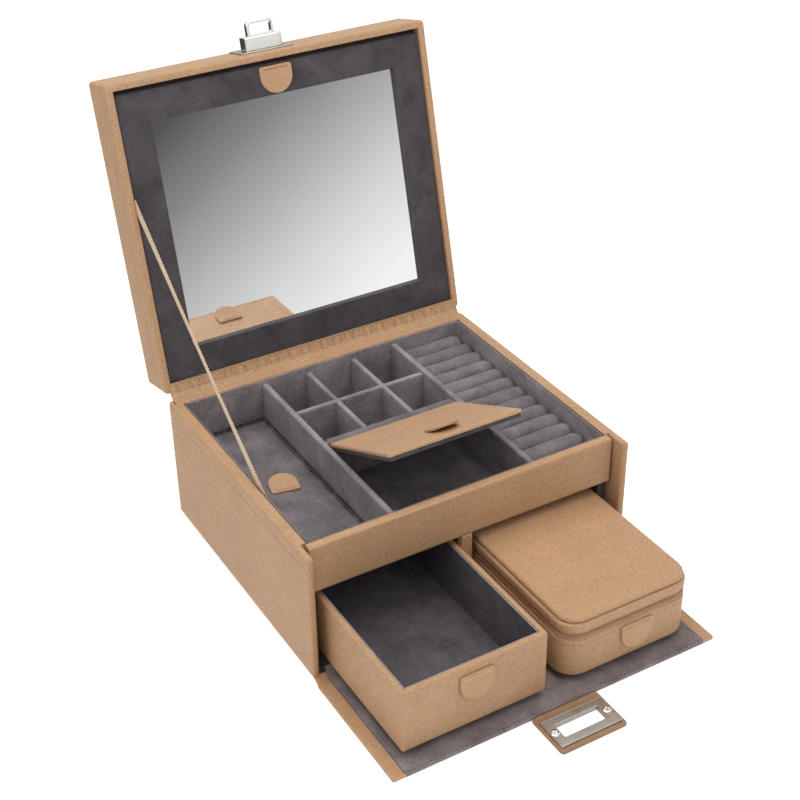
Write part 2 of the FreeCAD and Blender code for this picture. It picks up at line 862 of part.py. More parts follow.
def travel_base():
    outer = travel_block(0, travelZ, travelSplitZ)
    return outer.cut(travel_block(travelWall, travelZ + travelWall, travelSplitZ + 1))


def travel_liner():
    outer = travel_block(travelWall, travelZ + travelWall, travelSplitZ)
    inner = travel_block(travelWall + travelLining, travelZ + travelWall + travelLining,
                         travelSplitZ + 1)
    return outer.cut(inner)


def travel_lid():
    outer = travel_block(0, travelLidZ, travelTopZ)
    top_edges = edges_at_height(outer, travelTopZ, lambda e: True)
    outer = outer.makeFillet(travelTopRound, top_edges)
    inner = travel_block(travelWall, travelLidZ - 1, travelTopZ - travelTop)
    low = travelLidZ + grooveRise
    groove = travel_block(-1, low, low + grooveWidth)
    groove = groove.cut(travel_block(grooveDepth, low - 1, low + grooveWidth + 1))
    return outer.cut(inner).cut(groove)


def zip_tape():
    outer = travel_block(zipInset, travelSplitZ, travelLidZ)
    return outer.cut(travel_block(travelWall, travelSplitZ - 1, travelLidZ + 1))


def zip_teeth():
    middle = (travelSplitZ + travelLidZ) / 2
    outer = travel_block(zipInset - teethProud, middle - teethHeight / 2,
                         middle + teethHeight / 2)
    return outer.cut(travel_block(zipInset, middle - teethHeight, middle + teethHeight))


def travel_tab():
    tab = pull_tab()
    tab.translate(V(travelX + travelTabShift, travelFrontY, travelSplitZ - travelTabDrop))
    return tab


sliderY = travelBackY + sliderGap


def zip_slider():
    """Slider at the closed end of the zip, on the back of the travel case."""
    middle = (travelSplitZ + travelLidZ) / 2
    block = box(travelX - sliderWidth / 2, travelX + sliderWidth / 2, sliderY,
                sliderY + sliderThick, middle - sliderHeight / 2, middle + sliderHeight / 2)
    uprights = [e for e in block.Edges if e.BoundBox.YLength > 1]
    return block.makeFillet(1.5, uprights)


def zip_pull():
    middle = (travelSplitZ + travelLidZ) / 2
    y0 = sliderY + sliderThick
    top = middle + sliderHeight / 2 - 1
    plate = box(travelX - pullWidth / 2, travelX + pullWidth / 2, y0, y0 + pullThick,
                top - pullLength, top)
    ends = [e for e in plate.Edges if e.BoundBox.YLength > 0.5]
    return plate.makeFillet(pullWidth / 2 - 0.2, ends)


pieces = {
    "case_shell": case_shell(),
    "base_board": base_board(),
    "base_pad": base_pad(),
    "front_rail": front_rail(),
    "face_stiles": face_stiles(),
    "centre_post": centre_post(),
    "bay_walls": bay_walls(),
    "bay_partition": bay_partition(),
    "tray_floor": tray_floor(),
    "tray_floor_lining": tray_floor_lining(),
    "tray_liner": tray_liner(),
    "left_divider": long_divider(leftDividerX),
    "right_divider": long_divider(rightDividerX),
    "front_row_wall": front_row_wall(),
    "cross_divider": cross_divider(),
    "short_dividers": short_dividers(),
    "cover_ledge": cover_ledge(),
    "cover_hinge_strip": cover_hinge_strip(),
    "ring_pad": ring_pad(),
    "insert_board": insert_board(),
    "insert_suede": insert_suede(),
    "insert_tab": insert_tab(),
    "cover_board": cover_board(),
    "cover_lining": cover_lining(),
    "cover_tab": cover_tab(),
    "lid_shell": lid_shell(),
    "lid_lining": lid_lining(),
    "door_ledge": door_ledge(),
    "door_hinge_tape": door_hinge_tape(),
    "mirror_frame": mirror_frame(),
    "mirror_glass": mirror_glass(),
    "mirror_backing": mirror_backing(),
    "mirror_tab": mirror_tab(),
    "lid_hinge_leather": lid_hinge_leather(),
    "stay_ribbon": stay_ribbon(),
    "catch_plate": catch_plate(),
    "catch_rivets": catch_rivets(),
    "lock_box": lock_box(),
    "turn_catch": turn_catch(),
    "flap_board": flap_board(),
    "flap_lining": flap_lining(),
    "flap_hinge_leather": flap_hinge_leather(),
    "fold_lining": fold_lining(),
    "tongue": tongue(),
    "strike_plate": strike_plate(),
    "strike_screws": strike_screws(),
    "drawer_box": drawer_box(),
    "drawer_liner": drawer_liner(),
    "drawer_tab": drawer_tab(),
    "travel_base": travel_base(),
    "travel_liner": travel_liner(),
    "travel_lid": travel_lid(),
    "zip_tape": zip_tape(),
    "zip_teeth": zip_teeth(),
    "travel_tab": travel_tab(),
    "zip_slider": zip_slider(),
    "zip_pull": zip_pull(),
}

for name, shape in pieces.items():
    shape.exportStep("parts/" + name + ".step")

print(len(pieces), "nodes")
print("lid hinge axis", hingeY, hingeZ, "cover hinge axis", coverHingeY, coverHingeZ)
print("flap axis", flapAxisY, flapAxisHeight, "slot centre", slotY)
print("ribbon", (lid_point(-halfWidth + lidWall, ribbonLidU, ribbonLidW)
                 - V(-innerX, ribbonCaseY, linerTopZ)).Length)
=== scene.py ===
import json
import math

import bmesh
import bpy
import numpy as np
from mathutils import Matrix


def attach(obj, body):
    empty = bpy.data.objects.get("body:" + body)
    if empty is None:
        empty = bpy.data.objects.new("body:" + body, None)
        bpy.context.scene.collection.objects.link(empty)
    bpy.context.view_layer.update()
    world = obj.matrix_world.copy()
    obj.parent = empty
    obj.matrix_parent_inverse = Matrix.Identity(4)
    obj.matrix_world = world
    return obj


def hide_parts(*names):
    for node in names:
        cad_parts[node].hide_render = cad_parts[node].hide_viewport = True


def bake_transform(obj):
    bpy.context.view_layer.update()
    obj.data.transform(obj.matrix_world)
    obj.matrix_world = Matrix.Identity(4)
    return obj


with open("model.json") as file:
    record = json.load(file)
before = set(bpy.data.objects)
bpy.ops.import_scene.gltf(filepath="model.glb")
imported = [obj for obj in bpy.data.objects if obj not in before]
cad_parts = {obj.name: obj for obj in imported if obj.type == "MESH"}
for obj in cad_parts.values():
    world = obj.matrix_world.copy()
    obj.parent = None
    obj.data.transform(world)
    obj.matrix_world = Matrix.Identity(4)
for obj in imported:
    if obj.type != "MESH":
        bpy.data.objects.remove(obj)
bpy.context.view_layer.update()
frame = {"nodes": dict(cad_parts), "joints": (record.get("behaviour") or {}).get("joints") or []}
joints = {joint["name"]: joint for joint in frame["joints"]}
print("frame loaded:", len(frame["nodes"]), "nodes")

# Lengths below are millimetres in the frame's axes; toObject turns them to metres.


def turnX(points, pivot, degrees):
    # rotation about an axis along X through pivot (y, z)
    a = math.radians(degrees)
    y = points[..., 1] - pivot[0]
    z = points[..., 2] - pivot[1]
    out = np.array(points, float)
    out[..., 1] = pivot[0] + y * math.cos(a) - z * math.sin(a)
    out[..., 2] = pivot[1] + y * math.sin(a) + z * math.cos(a)
    return out


lidHinge = joints["lid_hinge"]
lidPivot = (lidHinge["pos_m"][1] * 1000, lidHinge["pos_m"][2] * 1000)
lidOpen = lidHinge["range_deg"][1]
coverHinge = joints["cover_hinge"]
coverPivot = (coverHinge["pos_m"][1] * 1000, coverHinge["pos_m"][2] * 1000)
coverTilt = coverHinge["range_deg"][1]


def openLid(points):
    return turnX(points, lidPivot, -lidOpen)


def raiseCover(points):
    return turnX(points, coverPivot, -coverTilt)


def nodePoints(node, closed=None):
    # vertices of a CAD node in mm; "lid" and "cover" nodes are turned back to the closed state
    mesh = frame["nodes"][node].data
    co = np.zeros(len(mesh.vertices) * 3)
    mesh.vertices.foreach_get("co", co)
    co = co.reshape(-1, 3) * 1000
    if closed == "lid":
        co = turnX(co, lidPivot, lidOpen)
    if closed == "cover":
        co = turnX(co, coverPivot, coverTilt)
    return co


def nodeBox(node, closed=None):
    # lowest and highest corner of a CAD node
    co = nodePoints(node, closed)
    return co.min(0), co.max(0)


# Materials

def linear(hexColour):
    # sRGB hex to linear RGBA
    parts = [int(hexColour[i:i + 2], 16) / 255 for i in (1, 3, 5)]
    return [c / 12.92 if c <= 0.04045 else ((c + 0.055) / 1.055) ** 2.4 for c in parts] + [1.0]


def addNode(tree, kind, settings=None, **inputs):
    # one node; an input is a value, or a (node, output) pair to link. i0, i1 and so on name a
    # socket by its number
    node = tree.nodes.new(kind)
    for key, value in (settings or {}).items():
        setattr(node, key, value)
    for key, value in inputs.items():
        numbered = key[0] == "i" and key[1:].isdigit()
        socket = node.inputs[int(key[1:]) if numbered else key.replace("_", " ")]
        if isinstance(value, tuple) and isinstance(value[0], bpy.types.Node):
            tree.links.new(value[0].outputs[value[1]], socket)
        else:
            socket.default_value = value
    return node


def newMaterial(name):
    material = bpy.data.materials.new(name)
    material.use_nodes = True
    tree = material.node_tree
    shader = tree.nodes["Principled BSDF"]
    return material, tree, shader


def scaled(hexColour, factor):
    # a colour made lighter or darker, linear
    return [c * factor for c in linear(hexColour)[:3]] + [1.0]


def ramp(tree, source, stops):
    # a stop's colour is sRGB hex, a linear list or one grey level
    node = addNode(tree, "ShaderNodeValToRGB", Fac=source)
    elements = node.color_ramp.elements
    while len(elements) < len(stops):
        elements.new(0.5)
    for element, (stop, colour) in zip(elements, stops):
        element.position = stop
        if isinstance(colour, str):
            colour = linear(colour)
        element.color = colour if isinstance(colour, list) else [colour, colour, colour, 1]
    return node


def placeInMm(tree):
    # object coordinates scaled so that one unit is a millimetre
    coords = addNode(tree, "ShaderNodeTexCoord")
    return addNode(tree, "ShaderNodeMapping", {"vector_type": "POINT"}, Vector=(coords, "Object"),
                   Scale=(1000, 1000, 1000))


def grainedLeather(name, tone, pebble=1.3, bump=1.0, valleyTone=0.78):
    # Corrected-grain cowhide, embossed and pigment-finished: soft pebbles about a millimetre
    # across, darker in the creases, with a low even sheen.
    material, tree, shader = newMaterial(name)
    coords = placeInMm(tree)
    warp = addNode(tree, "ShaderNodeTexNoise", Vector=(coords, 0), Scale=0.55, Detail=2.0)
    push = addNode(tree, "ShaderNodeVectorMath", {"operation": "SCALE"}, i0=(warp, "Color"), Scale=0.9)
    moved = addNode(tree, "ShaderNodeVectorMath", {"operation": "ADD"}, i0=(coords, 0), i1=(push, 0))
    cells = addNode(tree, "ShaderNodeTexVoronoi", {"feature": "SMOOTH_F1"}, Vector=(moved, 0),
                    Scale=1 / pebble, Smoothness=0.45)
    fine = addNode(tree, "ShaderNodeTexNoise", Vector=(coords, 0), Scale=2.4, Detail=2.0, Roughness=0.6)
    crease = addNode(tree, "ShaderNodeMath", {"operation": "MULTIPLY_ADD"},
                     i0=(fine, "Fac"), i1=0.35, i2=(cells, "Distance"))
    patches = addNode(tree, "ShaderNodeTexNoise", Vector=(coords, 0), Scale=0.035, Detail=3.0)
    mottle = ramp(tree, (patches, "Fac"),
                  [(0.3, scaled(tone, 0.95)), (0.5, tone), (0.72, scaled(tone, 1.05))])
    valley = ramp(tree, (crease, 0), [(0.35, 1.0), (0.9, valleyTone)])
    colour = addNode(tree, "ShaderNodeMix", {"data_type": "RGBA", "blend_type": "MULTIPLY"}, Factor=1.0)
    tree.links.new(mottle.outputs[0], colour.inputs[6])
    tree.links.new(valley.outputs[0], colour.inputs[7])
    tree.links.new(colour.outputs[2], shader.inputs["Base Color"])
    gloss = addNode(tree, "ShaderNodeMapRange", Value=(crease, 0), From_Min=0.3, From_Max=1.0,
                    To_Min=0.36, To_Max=0.55)
    tree.links.new(gloss.outputs[0], shader.inputs["Roughness"])
    relief = addNode(tree, "ShaderNodeBump", {"invert": True}, Height=(crease, 0), Strength=bump,
                     Distance=0.00042)
    tree.links.new(relief.outputs[0], shader.inputs["Normal"])
    shader.inputs["IOR"].default_value = 1.48
    shader.inputs["Specular IOR Level"].default_value = 0.4
    return material


def brushedSuede(name, tone, nap=1.0):
    # Polyester microsuede, brushed: a matt nap whose strokes lie a little lighter and darker,
    # with a pale sheen at grazing angles.
    material, tree, shader = newMaterial(name)
    coords = placeInMm(tree)
    strokes = addNode(tree, "ShaderNodeTexNoise", Vector=(coords, 0), Scale=0.045 * nap, Detail=3.0,
                      Roughness=0.55, Distortion=0.3)
    nub = addNode(tree, "ShaderNodeTexNoise", Vector=(coords, 0), Scale=0.3 * nap, Detail=3.0, Roughness=0.6)
    flecks = addNode(tree, "ShaderNodeTexNoise", Vector=(coords, 0), Scale=0.8, Detail=3.0, Roughness=0.75)
    two = addNode(tree, "ShaderNodeMath", {"operation": "MULTIPLY_ADD"},
                  i0=(nub, "Fac"), i1=0.4, i2=(strokes, "Fac"))
    three = addNode(tree, "ShaderNodeMath", {"operation": "MULTIPLY_ADD"},
                    i0=(flecks, "Fac"), i1=0.8, i2=(two, 0))
    blend = addNode(tree, "ShaderNodeMath", {"operation": "MULTIPLY"}, i0=(three, 0), i1=0.4545)
    tint = ramp(tree, (blend, 0), [(0.36, scaled(tone, 0.6)), (0.5, tone), (0.64, scaled(tone, 1.45))])
    tree.links.new(tint.outputs[0], shader.inputs["Base Color"])
    fibre = addNode(tree, "ShaderNodeTexNoise", Vector=(coords, 0), Scale=2.6, Detail=3.0, Roughness=0.75)
    relief = addNode(tree, "ShaderNodeBump", Height=(fibre, "Fac"), Strength=0.5, Distance=0.00025)
    tree.links.new(relief.outputs[0], shader.inputs["Normal"])
    shader.inputs["Roughness"].default_value = 0.95
    shader.inputs["Specular IOR Level"].default_value = 0.15
    shader.inputs["Sheen Weight"].default_value = 0.3
    shader.inputs["Sheen Roughness"].default_value = 0.45
    shader.inputs["Sheen Tint"].default_value = linear("#B9B4B6")
    return material


def nickelPlate(name, colour, roughness, brush=0.0):
    # Nickel-plated die casting. Brushed lines run along X when brush is set.
    material, tree, shader = newMaterial(name)
    shader.inputs["Metallic"].default_value = 1.0
    coords = addNode(tree, "ShaderNodeTexCoord")
    stretch = addNode(tree, "ShaderNodeMapping", {"vector_type": "POINT"}, Vector=(coords, "Object"),
                      Scale=(160, 5200, 5200))
    lines = addNode(tree, "ShaderNodeTexNoise", Vector=(stretch, 0), Scale=1.0, Detail=2.0)
    shade = ramp(tree, (lines, "Fac"), [(0.3, colour[0]), (0.7, colour[1])])
    tree.links.new(shade.outputs[0], shader.inputs["Base Color"])
    spread = addNode(tree, "ShaderNodeMapRange", Value=(lines, "Fac"), From_Min=0.3, From_Max=0.7,
                     To_Min=roughness, To_Max=roughness + 0.08 + brush)
    tree.links.new(spread.outputs[0], shader.inputs["Roughness"])
    if brush:
        relief = addNode(tree, "ShaderNodeBump", Height=(lines, "Fac"), Strength=0.25, Distance=0.00004)
        tree.links.new(relief.outputs[0], shader.inputs["Normal"])
    return material


def silveredMirror():
    # Float glass silvered behind: a near-perfect reflector with a faint cool cast.
    material, tree, shader = newMaterial("silvered mirror")
    coords = placeInMm(tree)
    haze = addNode(tree, "ShaderNodeTexNoise", Vector=(coords, 0), Scale=0.02, Detail=2.0)
    tone = ramp(tree, (haze, "Fac"), [(0.3, "#F8F9FA"), (0.7, "#FBFCFC")])
    tree.links.new(tone.outputs[0], shader.inputs["Base Color"])
    shader.inputs["Metallic"].default_value = 1.0
    shader.inputs["Roughness"].default_value = 0.0
    return material


def wovenTape(name, dark, light, pitch=1.5, angle=0.0):
    # Woven polyester tape: fine ribs across its length, read from the piece's own UV in mm.
    material, tree, shader = newMaterial(name)
    coords = addNode(tree, "ShaderNodeUVMap")
    turn = addNode(tree, "ShaderNodeMapping", {"vector_type": "POINT"}, Vector=(coords, 0),
                   Rotation=(0, 0, math.radians(angle)))
    # at scale 1 a wave texture repeats every 0.314
    ribs = addNode(tree, "ShaderNodeTexWave", {"wave_type": "BANDS", "bands_direction": "X"},
                   Vector=(turn, 0), Scale=0.314 / pitch, Distortion=0.4, Detail=1.0)
    tint = ramp(tree, (ribs, "Fac"), [(0.1, dark), (0.7, light)])
    tree.links.new(tint.outputs[0], shader.inputs["Base Color"])
    relief = addNode(tree, "ShaderNodeBump", Height=(ribs, "Fac"), Strength=0.9, Distance=0.0003)
    tree.links.new(relief.outputs[0], shader.inputs["Normal"])
    shader.inputs["Roughness"].default_value = 0.8
    shader.inputs["Sheen Weight"].default_value = 0.2
    return material


def threadMaterial(name, colour, shade):
    # Bonded polyester sewing thread, slightly glossy, two plies twisted.
    material, tree, shader = newMaterial(name)
    coords = placeInMm(tree)
    ply = addNode(tree, "ShaderNodeTexNoise", Vector=(coords, 0), Scale=1.4, Detail=1.0)
    tint = ramp(tree, (ply, "Fac"), [(0.35, shade), (0.65, colour)])
    tree.links.new(tint.outputs[0], shader.inputs["Base Color"])
    shader.inputs["Roughness"].default_value = 0.5
    return material


def fibreBoard():
    # Grey fibreboard under paper, seen only in gaps and from below.
    material, tree, shader = newMaterial("wrapped fibreboard")
    coords = placeInMm(tree)
    chips = addNode(tree, "ShaderNodeTexNoise", Vector=(coords, 0), Scale=0.8, Detail=4.0)
    tint = ramp(tree, (chips, "Fac"), [(0.3, "#231F21"), (0.7, "#332E30")])
    tree.links.new(tint.outputs[0], shader.inputs["Base Color"])
    shader.inputs["Roughness"].default_value = 0.9
    return material


leather = grainedLeather("grained cowhide, tan", "#C69E7A")
tabLeather = grainedLeather("tab cowhide, tan", "#C79E7A", 1.0, 0.8, 0.84)
# a darker copy of the tan leather: painted shade on the tongue, which lies under the flap's front edge
shadedTongueLeather = grainedLeather("grained cowhide, painted shade tan", "#A07F63")
# The grey suede is made in lighter and darker copies that paint in light and shade; the tray's copy carries
# painted light.
litTraySuede = brushedSuede("brushed microsuede, tray grey, painted light", "#8D868B")
padSuede = brushedSuede("brushed microsuede, ring pad grey", "#777176")
insertSuede = brushedSuede("brushed microsuede, insert grey", "#716B70")
# pale copy of the suede for a painted highlight, the sheen along a lining's top edge
highlightSuede = brushedSuede("brushed microsuede, painted highlight edge", "#A29CA2")
# the lid's darker copy of the grey suede carries painted shade
shadedLidSuede = brushedSuede("brushed microsuede, lid grey, painted shade", "#4D494E")
# darker copy of the suede, painted shade: drawer walls, the cover's lining, the face strips and the flap's
# step lines
shadedSuede = brushedSuede("brushed microsuede, painted shade copy", "#504B51", 1.2)
# lighter copy of the suede, painted light on the drawer floor
litFloorSuede = brushedSuede("brushed microsuede, drawer floor, painted light", "#5B565C", 1.2)
flapSuede = brushedSuede("brushed microsuede, flap grey", "#7D7577", 1.2)
# near-black cloth that stands only for shade: painted shadow lines along the linings and behind the pinked
# edges
paintedShadow = brushedSuede("painted shadow, charcoal", "#1D1B1D", 1.2)
satinNickel = nickelPlate("satin nickel", ("#9C978F", "#B2ADA5"), 0.26, 0.08)
brightNickel = nickelPlate("polished nickel", ("#E2E1DD", "#ECEBE8"), 0.05)
mirrorSilver = silveredMirror()
ribbonWeave = wovenTape("braided ribbon, cream tan", "#B4906F", "#EAD3BB", 1.6, 45)
zipWeave = wovenTape("zip tape, tan", "#A98463", "#C9A17E", 0.7)
coilNylon = threadMaterial("zip coil nylon, tan", "#D5AC86", "#B88F6C")
stitchThread = threadMaterial("sewing thread, brown tan", "#8F6B4E", "#7A5A40")
paleThread = threadMaterial("sewing thread, cream", "#E8D2BB", "#CDB094")
board = fibreBoard()
print("materials made")


# Geometry

def finishMesh(name, mesh, material, smooth=38):
    editable = bmesh.new()
    editable.from_mesh(mesh)
    bmesh.ops.remove_doubles(editable, verts=editable.verts, dist=1e-7)
    bmesh.ops.dissolve_degenerate(editable, edges=editable.edges, dist=1e-8)
    bmesh.ops.recalc_face_normals(editable, faces=editable.faces)
    editable.to_mesh(mesh)
    editable.free()
    mesh.shade_smooth()
    mesh.set_sharp_from_angle(angle=math.radians(smooth))
    mesh.materials.append(material)
    piece = bpy.data.objects.new(name, mesh)
    bpy.context.scene.collection.objects.link(piece)
    return piece


def gridFaces(rows, columns, wrapRows=False, wrapColumns=False):
    # quads between neighbouring points of a rows x columns grid
    i = np.arange(rows if wrapRows else rows - 1)
    j = np.arange(columns if wrapColumns else columns - 1)
    a, b = np.meshgrid(i, j, indexing="ij")
    a, b = a.ravel(), b.ravel()
    up = (a + 1) % rows
    along = (b + 1) % columns
    return np.stack([a * columns + b, up * columns + b, up * columns + along, a * columns + along], 1)


def gridEdge(rows, columns):
    # the points round the border of a grid, in order
    edge = list(range(columns)) + [r * columns + columns - 1 for r in range(1, rows)]
    edge += [(rows - 1) * columns + c for c in range(columns - 2, -1, -1)]
    return edge + [r * columns for r in range(rows - 2, 0, -1)]


def toObject(name, points, faces, material, caps=(), uv=None, smooth=38):
    mesh = bpy.data.meshes.new(name)
    polygons = [list(face) for face in faces.tolist()] + [list(cap) for cap in caps]
    mesh.from_pydata((points.reshape(-1, 3) * 0.001).tolist(), [], polygons)
    if uv is not None:
        layer = mesh.uv_layers.new(name="UVMap")
        corner = np.zeros(len(mesh.loops), int)
        mesh.loops.foreach_get("vertex_index", corner)
        layer.data.foreach_set("uv", uv.reshape(-1, 2)[corner].ravel())
    return finishMesh(name, mesh, material, smooth)


def filletPath(corners, steps=5):
    # a polyline of (a, b, radius) corners with each corner turned on a tangent arc
    points = []
    for index, (a, b, radius) in enumerate(corners):
        here = np.array([a, b], float)
        if radius <= 0 or index in (0, len(corners) - 1):
            points.append(here[None])
            continue
        before = np.array(corners[index - 1][:2], float) - here
        after = np.array(corners[index + 1][:2], float) - here
        before /= np.linalg.norm(before)
        after /= np.linalg.norm(after)
        half = math.acos(np.clip(before @ after, -1, 1)) / 2
        reach = radius / math.tan(half)
        centre = here + (before + after) / np.linalg.norm(before + after) * radius / math.sin(half)
        start, end = here + before * reach - centre, here + after * reach - centre
        sweep = math.pi - 2 * half
        turn = np.linspace(0, 1, steps + 1)[:, None]
        arc = (start * np.sin((1 - turn) * sweep) + end * np.sin(turn * sweep)) / math.sin(sweep)
        points.append(centre + arc)
    return np.concatenate(points)


def roundedLoop(halfX, halfY, radius, inset, cornerSteps=8, sideSteps=10):
    # outline of a rounded rectangle drawn in by each inset; one row of points per inset
    inset = np.atleast_1d(np.asarray(inset, float))[:, None]
    r = np.maximum(radius - inset, 0.05)
    cx, cy = np.maximum(halfX - inset - r, 0), np.maximum(halfY - inset - r, 0)
    rows = []
    for quarter in range(4):
        phi = np.radians(90 * quarter) + np.linspace(0, math.pi / 2, cornerSteps + 1)[None]
        sx = 1 if quarter in (0, 3) else -1
        sy = 1 if quarter in (0, 1) else -1
        arc = np.stack([sx * cx + r * np.cos(phi), sy * cy + r * np.sin(phi)], -1)
        rows.append(arc)
    out = []
    share = np.linspace(0, 1, sideSteps + 1)[1:-1][None, :, None]
    for quarter in range(4):
        end = rows[quarter][:, -1:]
        start = rows[(quarter + 1) % 4][:, :1]
        out += [rows[quarter], end + (start - end) * share]
    return np.concatenate(out, 1)


def loopPiece(name, lo, hi, radius, profile, material, pose=None, shape=None, smooth=38,
              cornerSteps=8, sideSteps=10):
    # a closed body: each profile point (inset, height) is one rounded-rectangle loop of the plan
    # lo..hi; the first and last loops are closed flat
    centre = (lo + hi) / 2
    half = (hi - lo) / 2
    loops = roundedLoop(half[0], half[1], radius, profile[:, 0], cornerSteps, sideSteps)
    rows, columns = loops.shape[:2]
    points = np.zeros((rows, columns, 3))
    points[..., 0] = centre[0] + loops[..., 0]
    points[..., 1] = centre[1] + loops[..., 1]
    points[..., 2] = profile[:, 1][:, None]
    if shape:
        points = shape(points)
    if pose:
        points = pose(points)
    faces = gridFaces(rows, columns, False, True)
    caps = [range(columns), range((rows - 1) * columns, rows * columns)]
    return toObject(name, points, faces, material, caps, smooth=smooth)


def roundedBlock(name, lo, hi, edge, material, corner=None, pose=None, axis=2, shape=None, top=None):
    # a block with every edge rounded by edge and its upright corners by corner; axis is the
    # direction that counts as up. A second ring next to each rounding keeps the faces flat.
    order = {2: (0, 1, 2), 1: (2, 0, 1), 0: (1, 2, 0)}[axis]
    low, high = lo[list(order)], hi[list(order)]
    corner = edge if corner is None else corner
    top = edge if top is None else top
    half = (high[2] - low[2]) / 2
    hold, holdTop = edge * 1.5, top * 1.5
    profile = filletPath([(hold, low[2], 0), (0, low[2], edge), (0, low[2] + min(hold, half), 0),
                          (0, high[2] - min(holdTop, half), 0), (0, high[2], top),
                          (holdTop, high[2], 0)], 4)

    def unroll(points):
        out = np.zeros_like(points)
        for target, source in zip(order, range(3)):
            out[..., target] = points[..., source]
        return shape(out) if shape else out
    return loopPiece(name, low, high, corner, profile, material, pose, unroll)


def sweepWall(name, path, normals, offsets, heights, material, squeeze=None):
    # a closed section (offset inwards, height) carried along an open path; squeeze is one
    # (inset, drop) pair per path point that draws the section in at the rounded ends
    rows = len(path)
    out = offsets[None].repeat(rows, 0) if offsets.ndim == 1 else offsets
    top = heights[None].repeat(rows, 0)
    if squeeze is not None:
        middle = (out.max(1) + out.min(1))[:, None] / 2
        halfT = (out.max(1) - out.min(1))[:, None] / 2
        out = middle + (out - middle) * np.maximum(halfT - squeeze[:, :1], 0.05) / halfT
        lowest = heights.min()
        top = lowest + (top - lowest) * (heights.max() - lowest - squeeze[:, 1:]) / (heights.max() - lowest)
    points = np.zeros((rows, out.shape[1], 3))
    points[..., :2] = path[:, None] - normals[:, None] * out[..., None]
    points[..., 2] = top
    faces = gridFaces(rows, out.shape[1], False, True)
    caps = [range(out.shape[1]), range((rows - 1) * out.shape[1], rows * out.shape[1])]
    return toObject(name, points, faces, material, caps)


def hoop(name, lo, hi, corner, profile, material):
    # a section of (inset, height) points carried all round the plan lo..hi and closed on itself
    centre, half = (lo + hi) / 2, (hi - lo) / 2
    loops = roundedLoop(half[0], half[1], corner, profile[:, 0], 5, 24)
    heights = np.broadcast_to(profile[:, 1][:, None, None], loops.shape[:2] + (1,))
    points = np.concatenate([loops + centre[:2], heights], 2)
    return toObject(name, points, gridFaces(*loops.shape[:2], True, True), material)


def edgeStrip(name, lo, hi, corner, start, end, top, material, body):
    # a thin hoop along the top of a lining, between two insets
    foot = top - 0.5
    profile = filletPath([(start, foot, 0), (start, top, 0.1), (end, top, 0.1), (end, foot, 0)], 3)
    place(hoop(name, lo, hi, corner, profile, material), body, "suede_lining")


def foldedBand(name, line, xs, over, under, material, ripple=None):
    # a band whose section follows a line in the YZ plane, carried along X; ripple moves each
    # point of the band along the line's normal
    tangent = np.gradient(line, axis=0)
    tangent /= np.linalg.norm(tangent, axis=1)[:, None]
    normal = np.stack([-tangent[:, 1], tangent[:, 0]], 1)
    rise = np.zeros((len(xs), len(line))) if ripple is None else ripple
    sides = []
    for offset in (over, -under):
        side = np.zeros((len(xs), len(line), 3))
        side[..., 0] = xs[:, None]
        side[..., 1:] = line[None] + normal[None] * (rise + offset)[..., None]
        sides.append(side)
    points = np.concatenate([sides[0], sides[1][:, ::-1]], 1)
    rows, columns = points.shape[:2]
    caps = [range(columns), range((rows - 1) * columns, rows * columns)]
    return toObject(name, points, gridFaces(rows, columns, False, True), material, caps, smooth=70)


def place(piece, body, slot, *replaced):
    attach(piece, body)
    if replaced:
        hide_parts(*replaced)
    return piece


def stitchRow(name, centres, along, out, material, length=2.4, width=0.75, height=0.35, pose=None):
    # one small half-sunk ellipsoid per stitch, copied to every centre as whole arrays
    u = np.linspace(0, math.pi, 5)[:, None]
    v = np.linspace(0, 2 * math.pi, 8, endpoint=False)[None]
    shape = np.stack([np.cos(u) * length / 2 + 0 * v, np.sin(u) * np.cos(v) * width / 2,
                      np.sin(u) * np.sin(v) * height], -1)
    count = len(centres)
    side = np.cross(out, along)
    local = shape.reshape(1, -1, 3)
    points = (centres[:, None] + local[..., :1] * along[:, None] + local[..., 1:2] * side[:, None]
              + local[..., 2:] * out[:, None])
    if pose:
        points = pose(points)
    rows, columns = shape.shape[:2]
    faces = gridFaces(rows, columns, False, True)
    step = rows * columns
    allFaces = (faces[None] + (np.arange(count) * step)[:, None, None]).reshape(-1, 4)
    return toObject(name, points, allFaces, material)


def seam(name, body, slot, lines, out, pitch, material, size, pose=None):
    # stitches along one or more straight lines (start, end) that share an outward direction each
    rows = [straightStitches(start, end, pitch) for start, end in lines]
    outs = [np.tile(np.array(direction, float), (len(row[0]), 1)) for row, direction in zip(rows, out)]
    row = stitchRow(name, np.concatenate([r[0] for r in rows]), np.concatenate([r[1] for r in rows]),
                    np.concatenate(outs), material, *size, pose)
    return place(row, body, slot)


def straightStitches(start, end, pitch):
    # evenly spaced places on a straight line, and its direction
    run = np.array(end, float) - np.array(start, float)
    length = np.linalg.norm(run)
    count = max(2, int(round(length / pitch)))
    share = (np.arange(count) + 0.5) / count
    return np.array(start, float) + run * share[:, None], np.tile(run / length, (count, 1))


# Outer case

caseLook = {"corner": 3.0, "edge": 2.4, "innerEdge": 2.0, "foot": 1.2, "frontEdge": 2.0, "cornerSteps": 8,
            "step": 0.12, "stitchDrop": 10.0, "stitchPitch": 3.4, "stitch": (1.9, 0.7, 0.22)}


